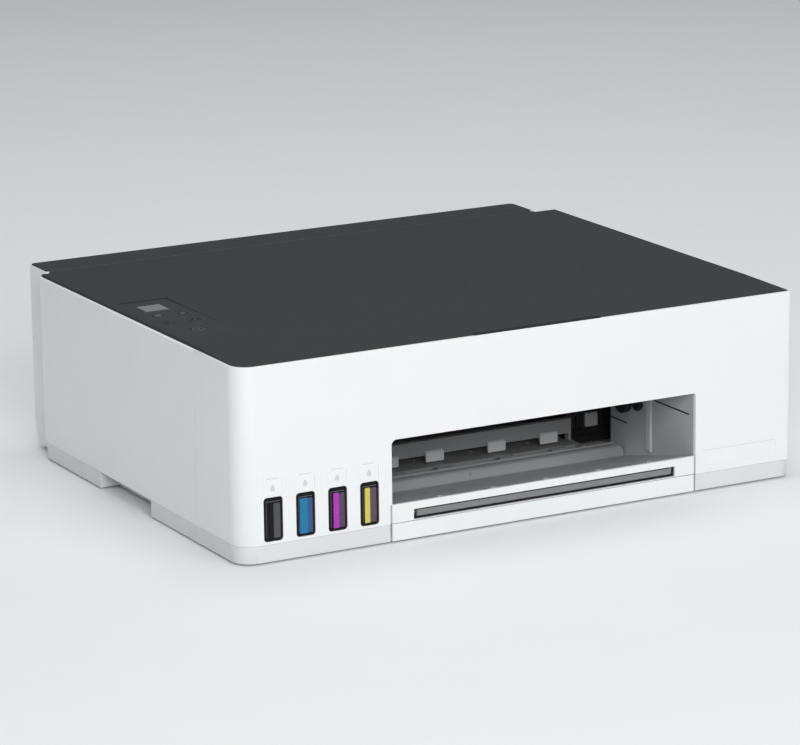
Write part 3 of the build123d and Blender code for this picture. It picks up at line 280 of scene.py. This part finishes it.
def moulded(name, color, roughness, grain=2200.0, bump=0.12, mottle=0.05, edge=0.0, metallic=0.0,
            spread=0.06, coat=0.0, stretch=(1.0, 1.0, 1.0), specular=0.5, alpha=1.0):
    """Moulded plastic or sheet metal: fine grain, slow mottling, uneven gloss and paler edges."""
    material = bpy.data.materials.new(name)
    material.use_nodes = True
    tree = material.node_tree
    shader = tree.nodes["Principled BSDF"]
    set_inputs(shader, Metallic=metallic, Specular_IOR_Level=specular, Coat_Weight=coat,
               Coat_Roughness=0.12, Alpha=alpha)
    spot = node(tree, "ShaderNodeTexCoord")
    scaled = node(tree, "ShaderNodeMapping", Scale=stretch)
    tree.links.new(spot.outputs["Object"], scaled.inputs["Vector"])
    slow = node(tree, "ShaderNodeTexNoise", Scale=14.0, Detail=3.0, Roughness=0.55)
    middle = node(tree, "ShaderNodeTexNoise", Scale=190.0, Detail=4.0, Roughness=0.6)
    fine = node(tree, "ShaderNodeTexNoise", Scale=grain, Detail=2.0, Roughness=0.5)
    for texture in (slow, middle, fine):
        tree.links.new(scaled.outputs["Vector"], texture.inputs["Vector"])
    base = mottled(tree, slow, color, mottle)
    if edge:
        base = with_pale_edges(tree, base, color, edge)
    tree.links.new(base, shader.inputs["Base Color"])
    gloss = node(tree, "ShaderNodeMapRange")
    set_inputs(gloss, From_Min=NOISE_LOW, From_Max=NOISE_HIGH, To_Min=max(0.02, roughness - spread),
               To_Max=min(1.0, roughness + spread))
    tree.links.new(middle.outputs["Fac"], gloss.inputs["Value"])
    tree.links.new(gloss.outputs["Result"], shader.inputs["Roughness"])
    relief = node(tree, "ShaderNodeBump", Strength=bump, Distance=0.12 * MM)
    tree.links.new(fine.outputs["Fac"], relief.inputs["Height"])
    tree.links.new(relief.outputs["Normal"], shader.inputs["Normal"])
    return material


ALONG_SHEET = (0.25, 1.0, 1.0)
ALONG_ROD = (1.0, 22.0, 22.0)
# the looks of the record's material slots, apart from the ink-coloured ones, and those that OWN_LOOK names
FINISHES = {
    "white_shell": dict(color=(0.80, 0.815, 0.815), roughness=0.46, grain=1500, bump=0.16, mottle=0.012,
                        edge=0.35),
    "grey_base": dict(color=(0.68, 0.69, 0.69), roughness=0.5, grain=1500, bump=0.18, mottle=0.014,
                      edge=0.3),
    "dark_cover": dict(color=(0.03, 0.031, 0.033), roughness=0.55, grain=2400, bump=0.05, mottle=0.012,
                       edge=0.12, specular=0.25, spread=0.02),
    "panel_film": dict(color=(0.028, 0.029, 0.031), roughness=0.48, grain=2600, bump=0.04, mottle=0.012,
                       edge=0.1, specular=0.25, spread=0.02),
    "display": dict(color=(0.17, 0.178, 0.186), roughness=0.2, grain=3000, bump=0.02, mottle=0.05,
                    coat=0.6),
    "button": dict(color=(0.009, 0.009, 0.01), roughness=0.4, grain=2500, bump=0.05, mottle=0.05,
                   edge=0.25, specular=0.2),
    "output_extender": dict(color=(0.2, 0.203, 0.207), roughness=0.45, grain=1600, bump=0.14, mottle=0.03,
                            edge=0.35),
    "exit_beam": dict(color=(0.3, 0.303, 0.308), roughness=0.5, grain=1300, bump=0.2, mottle=0.03,
                      edge=0.3),
    "paper_tabs": dict(color=(0.66, 0.665, 0.67), roughness=0.45, grain=1600, bump=0.14, mottle=0.03,
                       edge=0.3),
    "bay_platen": dict(color=(0.26, 0.263, 0.267), roughness=0.5, grain=1400, bump=0.2, mottle=0.05,
                       edge=0.3),
    "bay_grey": dict(color=(0.5, 0.505, 0.513), roughness=0.5, grain=1300, bump=0.22, mottle=0.03,
                     edge=0.3),
    "light_grey": dict(color=(0.3, 0.304, 0.31), roughness=0.42, grain=1600, bump=0.14, mottle=0.03,
                       edge=0.4),
    "black_plastic": dict(color=(0.018, 0.018, 0.02), roughness=0.45, grain=1400, bump=0.22, mottle=0.06,
                          edge=0.2),
    "print_head": dict(color=(0.02, 0.02, 0.023), roughness=0.3, grain=2000, bump=0.08, mottle=0.05,
                       edge=0.3, coat=0.2),
    "steel": dict(color=(0.56, 0.57, 0.59), roughness=0.34, grain=900, bump=0.1, mottle=0.09, metallic=1.0,
                  spread=0.1, edge=0.5, stretch=ALONG_SHEET),
    "chrome_rod": dict(color=(0.74, 0.75, 0.77), roughness=0.1, grain=900, bump=0.03, mottle=0.03,
                       metallic=1.0, spread=0.04, stretch=ALONG_ROD),
    "screw_steel": dict(color=(0.42, 0.43, 0.45), roughness=0.32, grain=900, bump=0.08, mottle=0.1,
                        metallic=1.0, spread=0.08),
    "motor_can": dict(color=(0.36, 0.37, 0.39), roughness=0.36, grain=700, bump=0.08, mottle=0.08,
                      metallic=1.0, spread=0.1),
    "brass_gear": dict(color=(0.72, 0.53, 0.25), roughness=0.32, grain=900, bump=0.08, mottle=0.09,
                       metallic=1.0, spread=0.08),
    "board": dict(color=(0.012, 0.11, 0.045), roughness=0.36, grain=700, bump=0.12, mottle=0.16, coat=0.3),
    "socket_metal": dict(color=(0.6, 0.6, 0.62), roughness=0.3, grain=900, bump=0.06, mottle=0.08,
                         metallic=1.0),
    "belt_rubber": dict(color=(0.02, 0.02, 0.02), roughness=0.72, grain=1600, bump=0.3, mottle=0.1),
    "foot_rubber": dict(color=(0.035, 0.035, 0.037), roughness=0.8, grain=1200, bump=0.35, mottle=0.1),
    "roller_grey": dict(color=(0.22, 0.225, 0.235), roughness=0.62, grain=1900, bump=0.5, mottle=0.1,
                        metallic=0.6),
    "roller_rubber": dict(color=(0.04, 0.04, 0.042), roughness=0.75, grain=1500, bump=0.35, mottle=0.1),
    "tubing": dict(color=(0.32, 0.32, 0.34), roughness=0.2, grain=1500, bump=0.04, mottle=0.12, coat=0.4),
}
LOOKS = {name: moulded(name, **settings) for name, settings in FINISHES.items()}
TANK_TINTS = {"black": (0.05, 0.05, 0.055), "cyan": (0.045, 0.085, 0.13), "magenta": (0.09, 0.055, 0.1),
              "yellow": (0.09, 0.07, 0.085)}
CAP_TINTS = {"black": (0.03, 0.03, 0.032), "cyan": (0.03, 0.22, 0.46), "magenta": (0.5, 0.05, 0.28),
             "yellow": (0.72, 0.58, 0.05)}
for ink in INKS:
    LOOKS["tank_" + ink] = moulded("tank_" + ink, TANK_TINTS[ink], 0.22, grain=900, bump=0.05, mottle=0.12,
                                   coat=0.3, alpha=0.5)
    LOOKS["cap_" + ink] = moulded("cap_" + ink, CAP_TINTS[ink], 0.4, grain=1500, bump=0.12, mottle=0.04,
                                  edge=0.3)

# nodes that look different from the rest of their material slot
OWN_LOOK = {"output_extender": "output_extender", "platen": "bay_platen", "exit_roller": "bay_platen",
            "exit_beam": "exit_beam", "paper_tabs": "paper_tabs"}
# edge rounding in millimetres of the nodes that are seen up close
EDGES = {"front_cover": 0.35, "left_side_panel": 0.35, "right_side_panel": 0.35, "rear_housing": 0.35,
         "top_cover": 0.3, "rear_tray": 0.3, "base_tray": 0.3, "output_tray_front": 0.25, "exit_bar": 0.3,
         "output_extender": 0.3, "paper_tabs": 0.3, "carriage": 0.3, "print_heads": 0.4, "power_inlet": 0.3,
         "exit_beam": 0.3, "platen": 0.2}


def dress_cad():
    """The look of every CAD part, and the rounded edges of those that are seen up close."""
    slot_of = {entry["node"]: entry["material_slot"] for entry in frame["record"]["subparts"]}
    for name, cad in NODES.items():
        cad.data.materials.clear()
        cad.data.materials.append(LOOKS[OWN_LOOK.get(name, slot_of[name])])
        if name in EDGES:
            weld = cad.modifiers.new("weld", "WELD")
            weld.merge_threshold = 0.005 * MM
            soften(cad, EDGES[name], angle=40)


# ---------------------------------------------------------------- floor, light, camera
def paper_floor():
    """A pale floor that reaches far behind the machine."""
    mesh = bpy.data.meshes.new("floor")
    reach = 40.0
    corners = [(-reach, -reach, 0), (reach, -reach, 0), (reach, reach, 0), (-reach, reach, 0)]
    mesh.from_pydata(corners, [], [(0, 1, 2, 3)])
    floor = bpy.data.objects.new("floor", mesh)
    bpy.context.scene.collection.objects.link(floor)
    mesh.materials.append(moulded("floor_paper", (0.88, 0.88, 0.885), 0.9, grain=300, bump=0.02,
                                  mottle=0.004, specular=0.1))


def soft_box(name, where, size, watts):
    """A rectangular studio lamp, in metres, that faces the middle of the machine."""
    light = bpy.data.lights.new(name, "AREA")
    light.shape = "RECTANGLE"
    light.size, light.size_y = size
    light.energy = watts
    lamp = bpy.data.objects.new(name, light)
    bpy.context.scene.collection.objects.link(lamp)
    lamp.location = where
    lamp.rotation_mode = "QUATERNION"
    lamp.rotation_quaternion = ((LOW + HIGH) / 2 - lamp.location).to_track_quat("-Z", "Y")


def lighting():
    """An even pale surround and three lamps: most light from the front left, some from above."""
    world = bpy.data.worlds.new("studio")
    bpy.context.scene.world = world
    world.use_nodes = True
    set_inputs(world.node_tree.nodes["Background"], Color=(0.95, 0.97, 1.0, 1), Strength=0.29)
    bpy.context.scene.view_settings.view_transform = "Standard"
    soft_box("key", where=(-1.2, -2.75, 1.4), size=(1.6, 1.2), watts=53)
    soft_box("fill", where=(1.2, -2.8, 1.3), size=(1.4, 1.2), watts=16)
    soft_box("top", where=(0.2, 0.4, 2.8), size=(2.4, 2.4), watts=33)


def camera(eye=(-1.3249, -2.45045, 0.771), yaw=28.41, pitch=14.19, roll=-0.74, lens=178.68):
    """The viewpoint of a product picture, from the front left and a little above; angles in degrees."""
    yaw, pitch, roll = math.radians(yaw), math.radians(pitch), math.radians(roll)
    data = bpy.data.cameras.new("camera")
    data.sensor_width = 36.0
    data.lens = lens
    data.clip_end = 100
    viewer = bpy.data.objects.new("camera", data)
    bpy.context.scene.collection.objects.link(viewer)
    viewer.location = eye
    ahead = Vector((math.sin(yaw) * math.cos(pitch), math.cos(yaw) * math.cos(pitch), -math.sin(pitch)))
    level_right = Vector((math.cos(yaw), -math.sin(yaw), 0))
    level_up = level_right.cross(ahead)
    right = level_right * math.cos(roll) + level_up * math.sin(roll)
    up = level_up * math.cos(roll) - level_right * math.sin(roll)
    viewer.rotation_mode = "QUATERNION"
    viewer.rotation_quaternion = Matrix((right, up, -ahead)).transposed().to_quaternion()
    bpy.context.scene.camera = viewer


# ---------------------------------------------------------------- shared detail looks
DETAIL_FINISHES = {
    "gloss_black": dict(color=(0.005, 0.005, 0.006), roughness=0.2, grain=2500, bump=0.02, mottle=0.1,
                        spread=0.04, specular=0.15),
    "ring_seam": dict(color=(0.3, 0.303, 0.306), roughness=0.6, grain=2000, bump=0.1, mottle=0.03),
    "soft_black": dict(color=(0.012, 0.012, 0.013), roughness=0.5, grain=1500, bump=0.2, mottle=0.08),
    "glint": dict(color=(0.11, 0.11, 0.115), roughness=0.3, grain=900, bump=0.02, mottle=0.15),
    # a grey streak painted as a highlight down the left of each window
    "glint_streak": dict(color=(0.045, 0.042, 0.048), roughness=0.25, grain=400, bump=0.03, mottle=0.15,
                  coat=0.3),
    "pad_shade": dict(color=(0.42, 0.43, 0.43), roughness=0.5, grain=2000, bump=0.05, mottle=0.02),
    # grey of the printed drop marks, also used for the line painted as shadow in the blank recess
    "mark": dict(color=(0.6, 0.61, 0.61), roughness=0.55, grain=2000, bump=0.05, mottle=0.02),
    "key_mark": dict(color=(0.16, 0.165, 0.17), roughness=0.5, grain=2000, bump=0.05, mottle=0.03),
    "rear_seam": dict(color=(0.058, 0.062, 0.068), roughness=0.5, grain=2000, bump=0.1, mottle=0.03),
    "floor_line": dict(color=(0.28, 0.283, 0.287), roughness=0.5, grain=2000, bump=0.1, mottle=0.03),
    # paler than the cover: the painted highlight along the crease
    "crease": dict(color=(0.08, 0.082, 0.085), roughness=0.5, grain=2000, bump=0.1, mottle=0.03),
    # pale grey of the strips on the bay walls, also used for the line painted as a highlight along the exit
    # bar
    "wall_strip": dict(color=(0.6, 0.605, 0.61), roughness=0.45, grain=1800, bump=0.1, mottle=0.03,
                       edge=0.2),
    "pale_strip": dict(color=(0.5, 0.505, 0.51), roughness=0.45, grain=1800, bump=0.1, mottle=0.03,
                       edge=0.2),
    "label": dict(color=(0.62, 0.63, 0.64), roughness=0.35, grain=1200, bump=0.03, mottle=0.03),
    "chip": dict(color=(0.014, 0.014, 0.015), roughness=0.4, grain=1800, bump=0.15, mottle=0.08),
    "connector": dict(color=(0.66, 0.64, 0.57), roughness=0.4, grain=1500, bump=0.08, mottle=0.04,
                      edge=0.3),
    "solder": dict(color=(0.62, 0.62, 0.6), roughness=0.3, grain=900, bump=0.15, mottle=0.1, metallic=1.0),
    "film": dict(color=(0.3, 0.3, 0.32), roughness=0.15, grain=900, bump=0.02, mottle=0.2, coat=0.5,
                 alpha=0.55),
}
DETAIL = {name: moulded(name, **settings) for name, settings in DETAIL_FINISHES.items()}


# ---------------------------------------------------------------- ink windows and pads
WINDOW_Z, PAD_Z = 30.7, 52.5  # heights of the middles
WINDOW_OUTLINE, PAD_OUTLINE = rounded(6.85, 14.95, 2.1), rounded(6.9, 5.9, 2.0)
INK_LEVEL = 52.0
INK_COLOURS = {"black": (0.004, 0.004, 0.005), "cyan": (0.014, 0.175, 0.35), "magenta": (0.4, 0.04, 0.42),
               "yellow": (0.58, 0.53, 0.1)}
# the smoky tint beside each ink column, lightened as a painted reflection
SHEEN_COLOURS = {"black": (0.07, 0.07, 0.072), "cyan": (0.035, 0.08, 0.2), "magenta": (0.09, 0.055, 0.1),
                "yellow": (0.1, 0.065, 0.1)}
# each ink column's shift from the middle of its window, and half its width
COLUMNS = {"black": (-1.2, 1.5), "cyan": (-1.3, 3.0), "magenta": (-1.1, 2.1), "yellow": (-1.6, 2.0)}
SHEEN_EDGE = 5.3  # right edge of the sheen, the smoky tint lightened by a painted reflection, from the middle of the window


def ink_window(ink, middle):
    """The dark glossy window over a tank, with its ink column, a sheen beside it that is the smoky tint
    lightened by a painted reflection, and painted glints.
    """
    centre = Vector((middle, LOW.y, LOW.z + WINDOW_Z * MM))
    shift, half = COLUMNS[ink]
    sheen_centre = centre + RIGHT * ((shift + half + SHEEN_EDGE) / 2 * MM)
    sheen_half = (SHEEN_EDGE - shift - half) / 2
    sheen_look = moulded("sheen_" + ink, SHEEN_COLOURS[ink], 0.3, grain=150, bump=0.03, mottle=0.16,
                        specular=0.3)
    ink_look = moulded("ink_" + ink, INK_COLOURS[ink], 0.24, grain=60, bump=0.02, mottle=0.06,
                       specular=0.2)
    plate("window_" + ink, WINDOW_OUTLINE, centre, -0.58, -0.34, "chassis",
          DETAIL["gloss_black"], 0.1)
    # the smoky column right of the ink, its tint lightened as a painted reflection
    plate("sheen_" + ink, column(sheen_half, -13.1, 10.9), sheen_centre, -0.4, -0.28, "chassis",
          sheen_look)
    plate("ink_" + ink, column(half, -13.3, 11.2), centre + RIGHT * (shift * MM), -0.4, -0.22, "chassis",
          ink_look, 0.08)
    plate("rim_glint_" + ink, rounded(5.1, 0.22, 0.2), centre + UP * (12.3 * MM), -0.4, -0.3, "chassis",
          DETAIL["glint"])
    # a thin paler streak painted as a highlight down the left side of the window
    plate("glint_" + ink, column(0.28, -12.4, 12.2), centre - RIGHT * (5.0 * MM), -0.4, -0.3, "chassis",
          DETAIL["glint_streak"])


def drop_pad(ink, middle):
    """The white pad above a window, with a shaded upper edge and a drop mark."""
    centre = Vector((middle, LOW.y, LOW.z + PAD_Z * MM))
    plate("pad_" + ink, PAD_OUTLINE, centre, -0.5, -0.35, "chassis",
          LOOKS["white_shell"])
    plate("pad_shade_" + ink, rounded(4.5, 0.17, 0.1), centre + UP * (6.05 * MM), -0.5, -0.42, "chassis",
          DETAIL["pad_shade"], 0.0)
    plate("drop_mark_" + ink, drop(1.7), centre - UP * (1.0 * MM), -0.36, -0.27, "chassis",
          DETAIL["mark"])


def ink_body(ink):
    """The ink inside a tank: a plain block, within the walls and behind the boss that fills the window."""
    look = moulded("ink_body_" + ink, INK_COLOURS[ink], 0.3, grain=60, bump=0.02, mottle=0.06)
    (left, right), (front, back), (foot, _) = span("tank_" + ink)
    wall, boss = 1.9, 5.4
    block("ink_body_" + ink, (left + wall, right - wall), (front + boss + wall, back - wall),
          (foot + wall, INK_LEVEL), "chassis", look, "tank_" + ink, 0.5)


def ink_station():
    """Windows, pads and ink of the four tanks, and a grey line painted as the shadow under the top edge of
    the blank recess at the right.
    """
    for ink in INKS:
        low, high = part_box("tank_" + ink)
        middle = (low.x + high.x) / 2
        ink_window(ink, middle)
        drop_pad(ink, middle)
        ink_body(ink)
    # a grey line painted as the shadow under the top edge of the blank recess
    block("blank_recess_shadow", (146.4, 207.4), (0.12, 0.5), (29.6, 29.95), "chassis", DETAIL["mark"],
          "white_shell", 0.03)


# ---------------------------------------------------------------- cover and keys
def control_keys():
    """Marks on the five keys: rings and dots, no lettering."""
    rings = {"power_button": ((2.6, 2.1), (1.9, 1.4)), "cancel_button": ((1.7, 1.4), (1.0, 0.7)),
             "copy_button": ((4.9, 3.3), (4.4, 2.8))}
    for key, (outer, inner) in rings.items():
        oval_ring(key + "_ring0", top_of(key), outer, inner, 0.05, key, DETAIL["key_mark"])
    dots = {"power_button": 0.8, "paper_button": 0.7, "network_button": 0.7, "copy_button": 0.8}
    for key, radius in dots.items():
        plate(key + "_dot", oval(radius, radius, 24), top_of(key), -0.01, 0.05, key, DETAIL["key_mark"],
              0.03, up=BACK, outwards=UP)


def cover_details():
    """The crease across the cover with a paler line painted as its highlight, the ribs under it and the
    dark strip behind it.
    """
    (left, right), _, (_, top) = span("top_cover")
    # a paler line painted as the highlight where the cover bends at the crease
    block("crease_highlight", (left + 0.8, right - 0.8), (57.3, 57.7), (top - 0.25, top), "cover",
          DETAIL["crease"], "dark_cover", 0.03)
    (left, right), (front, _), (_, top) = span("rear_tray")
    block("seam_strip", (left + 1.75, right - 1.75), (front - 1.44, front - 0.25), (top - 6.8, top - 0.2),
          "chassis", DETAIL["rear_seam"], "dark_cover", 0.1)
    rib, rib_z = 1.4, (131.4, 134.1)
    ribs = [((x, x + rib), (16, 300), rib_z) for x in (-160, -102, -44, 14, 72, 130, 195)]
    ribs += [((-160, 196), (depth, depth + rib), rib_z) for depth in (75, 150, 225, 299)]
    blocks("cover_ribs", ribs, "cover", LOOKS["dark_cover"], 0.2)


# ---------------------------------------------------------------- output bay
STRIP_DEPTH, STRIP_Z = (57.2, 62.8), (17.5, 72.0)
WALL_SKIN_X = (139.62, 139.72)
FLOOR_FALL = 0.2268  # how far the output floor drops for each millimetre towards the back
GROOVE_X, BAR_RIDGE_X = (-102.0, 133.4), (-102.0, 134.6)


def bay_details():
    """Light strips, shaded grooves, a painted highlight along the exit bar and the round housing beside the
    paper exit.
    """
    block("wall_strip_right", (138.3, 138.7), STRIP_DEPTH, STRIP_Z, "chassis", DETAIL["wall_strip"],
          "light_grey", 0.1)
    block("wall_strip_left", (-101.3, -100.95), STRIP_DEPTH, STRIP_Z, "chassis", DETAIL["wall_strip"],
          "light_grey", 0.1)
    # a black strip painted as the shadow inside the groove of the exit bar
    block("bar_groove_shadow", GROOVE_X, (99.0, 99.8), (12.9, 13.25), "chassis", DETAIL["soft_black"],
          "light_grey", 0.05)
    grooves = [(WALL_SKIN_X, (8.0, 54.5), (54.9, 55.9)), (WALL_SKIN_X, (90.5, 112), (29.9, 30.9))]
    blocks("wall_grooves", grooves, "chassis", DETAIL["soft_black"], 0.02)
    wall = 139.5
    maker = bmesh.new()
    for start, depth, z, radius, sides in ((134.4, 92, 47, 8.6, 40), (136.4, 74, 49, 5.4, 32)):
        add_bar(maker, place(start, depth, z), place(wall, depth, z), radius * MM, sides)
    new_piece("wheel_housing", finish_mesh("wheel_housing", maker, 40), "chassis", DETAIL["soft_black"],
              0.5)
    lines = [((-97, 136.5), (depth, depth + 0.2), (26.75 - FLOOR_FALL * depth, 27.03 - FLOOR_FALL * depth))
             for depth in (22, 40, 58, 76)]
    blocks("floor_lines", lines, "chassis", DETAIL["floor_line"], 0.03)
    # a pale line painted as the highlight along the ridge of the exit bar
    block("bar_ridge_highlight", BAR_RIDGE_X, (100.5, 101.5), (14.2, 14.46), "chassis", DETAIL["wall_strip"],
          "light_grey", 0.05)


def carriage_details():
    """What shows of the parked carriage through the bay, and the marks on its lid."""
    def on_carriage(name, x, depth, z, look, slot, bevel):
        block(name, *on_node("carriage", x, depth, z), "carriage", DETAIL[look], slot, bevel)

    on_carriage("carriage_hook", (7.6, 11.6), (-2.4, 0.3), (0.6, 15.0), "soft_black", "black_plastic", 0.5)
    on_carriage("carriage_hook_tip", (5.4, 13.9), (-2.2, 0.2), (9.6, 16.0), "soft_black",
                "black_plastic", 0.6)
    on_carriage("carriage_block", (15.2, 25.6), (-2.4, 0.3), (0.5, 10.8), "pale_strip", "light_grey", 0.6)
    on_carriage("carriage_block_edge", (27.8, 36.3), (-2.2, 0.2), (0.4, 18.0), "soft_black",
                "black_plastic", 0.5)
    on_carriage("lid_label", (34, 59), (17, 29), (66.38, 66.46), "label", None, 0.02)
    on_carriage("lid_latch", (38, 55), (3, 10), (65.7, 67.2), "pale_strip", "light_grey", 0.4)


# ---------------------------------------------------------------- inside
def board_details():
    """Small parts on the main board: pins, sockets, resistors, tracks and capacitors."""
    thick = 1.6
    chip_x, chip_depth, chip_half, pin_half, pin_reach = 25, 28, 9.6, 0.25, 0.6

    def on_board(x, depth, height):
        return on_node("main_board", x, depth, (thick, thick + height))

    pins = []
    for side in (-1, 1):
        for k in range(14):
            along = -8.1 + k * 1.25
            across = side * chip_half
            pins.append(on_board((chip_x + along - pin_half, chip_x + along + pin_half),
                                 (chip_depth + across - pin_reach, chip_depth + across + pin_reach), 0.5))
            pins.append(on_board((chip_x + across - pin_reach, chip_x + across + pin_reach),
                                 (chip_depth + along - pin_half, chip_depth + along + pin_half), 0.5))
    blocks("board_pins", pins, "chassis", DETAIL["solder"], 0.05)
    sockets = [on_board((2.5, 12.5), (22, 27), 5), on_board((2.5, 12.5), (32, 37), 5),
               on_board((36, 58), (66.5, 71), 6)]
    blocks("board_sockets", sockets, "chassis", DETAIL["connector"], 0.3)
    resistors = [on_board((10 + 5.5 * k, 12 + 5.5 * k), (41 + 2.5 * (k % 3), 42.2 + 2.5 * (k % 3)), 0.7)
                 for k in range(9)]
    blocks("board_resistors", resistors, "chassis", DETAIL["chip"], 0.05)
    tracks = [on_board((14 + 3 * k, 14.5 + 3 * k), (3 + 1.5 * (k % 4), 17), 0.04) for k in range(14)]
    blocks("board_tracks", tracks, "chassis", DETAIL["solder"], 0.01)
    maker = bmesh.new()
    for middle in (38, 46, 54):
        x, depth, z = on_board((middle, middle), (8, 8), 8)
        add_bar(maker, place(x[0], depth[0], z[0]), place(x[1], depth[1], z[1]), 3.0 * MM, 28)
    new_piece("board_capacitors", finish_mesh("board_capacitors", maker, 40), "chassis",
              DETAIL["gloss_black"], 0.4)


def inside_details():
    """Encoder strip, power supply label and the screws of the two frame plates."""
    (_, left_face), _, _ = span("left_frame")
    (right_face, _), _, _ = span("right_frame")
    block("encoder_strip", (left_face, right_face), (187.0, 187.3), (46.0, 54.0), "chassis", DETAIL["film"],
          "tubing", 0.02)
    block("supply_label", *on_node("power_supply", (15, 70), (18, 58), (39.98, 40.06)), "chassis",
          DETAIL["label"], None, 0.02)
    maker = bmesh.new()
    for x, inward in ((left_face, 1), (right_face, -1)):
        for depth, z in ((134, 20), (240, 20), (150, 84)):
            add_bar(maker, place(x, depth, z), place(x + inward * 1.2, depth, z), 2.6 * MM)
    new_piece("frame_screws", finish_mesh("frame_screws", maker, 40), "chassis", LOOKS["screw_steel"],
              0.25)


# ---------------------------------------------------------------- base
REAR_RADIUS, FRONT_LEFT_RADIUS, FRONT_RIGHT_RADIUS = 3.0, 14.0, 8.5
SEAM_Z = (13.2, 13.6)
SEAM_INSETS = (0.32, 0.8)


def rim_points(inset):
    """The outline of the base ring, with its different corners, pulled in by an inset."""
    (left, right), (front, _), _ = span("front_cover")
    _, (_, back), _ = span("left_side_panel")
    corners = ((right, back, -1, -1, REAR_RADIUS), (left, back, 1, -1, REAR_RADIUS),
               (left, front, 1, 1, FRONT_LEFT_RADIUS), (right, front, -1, 1, FRONT_RIGHT_RADIUS))
    points = []
    for quarter, (x, depth, inward_x, inward_depth, radius) in enumerate(corners):
        centre = (x + inward_x * radius, depth + inward_depth * radius)
        points += arc(centre, radius - inset, 90 * quarter, 8)
    return points


def ring_seam():
    """The fine grey line between the white shell and the base ring, lying in their rounded edges."""
    maker = bmesh.new()
    outer, inner = SEAM_INSETS
    low, high = SEAM_Z
    rings = []
    for inset, z in ((outer, low), (outer, high), (inner, high), (inner, low)):
        rings.append([maker.verts.new(place(x, depth, z)) for x, depth in rim_points(inset)])
    join_rings(maker, rings)
    new_piece("ring_seam", finish_mesh("ring_seam", maker, 40), "chassis", DETAIL["ring_seam"])


def underside():
    """Ribs and a blank rating plate under the base."""
    rib, rib_z = 1.2, (0.95, 1.55)
    ribs = [((x, x + rib), (30, 285), rib_z) for x in (-150, -100, -50, 0, 50, 100, 150)]
    ribs += [((-150, 150 + rib), (depth, depth + rib), rib_z) for depth in (30, 115, 200, 285)]
    blocks("base_ribs", ribs, "chassis", LOOKS["grey_base"], 0.15)
    block("rating_plate", (-40, 38), (130, 186), (1.35, 1.52), "chassis", DETAIL["label"], None, 0.03)


dress_cad()
paper_floor()
lighting()
camera()
ink_station()
control_keys()
cover_details()
bay_details()
carriage_details()
board_details()
inside_details()
ring_seam()
underside()
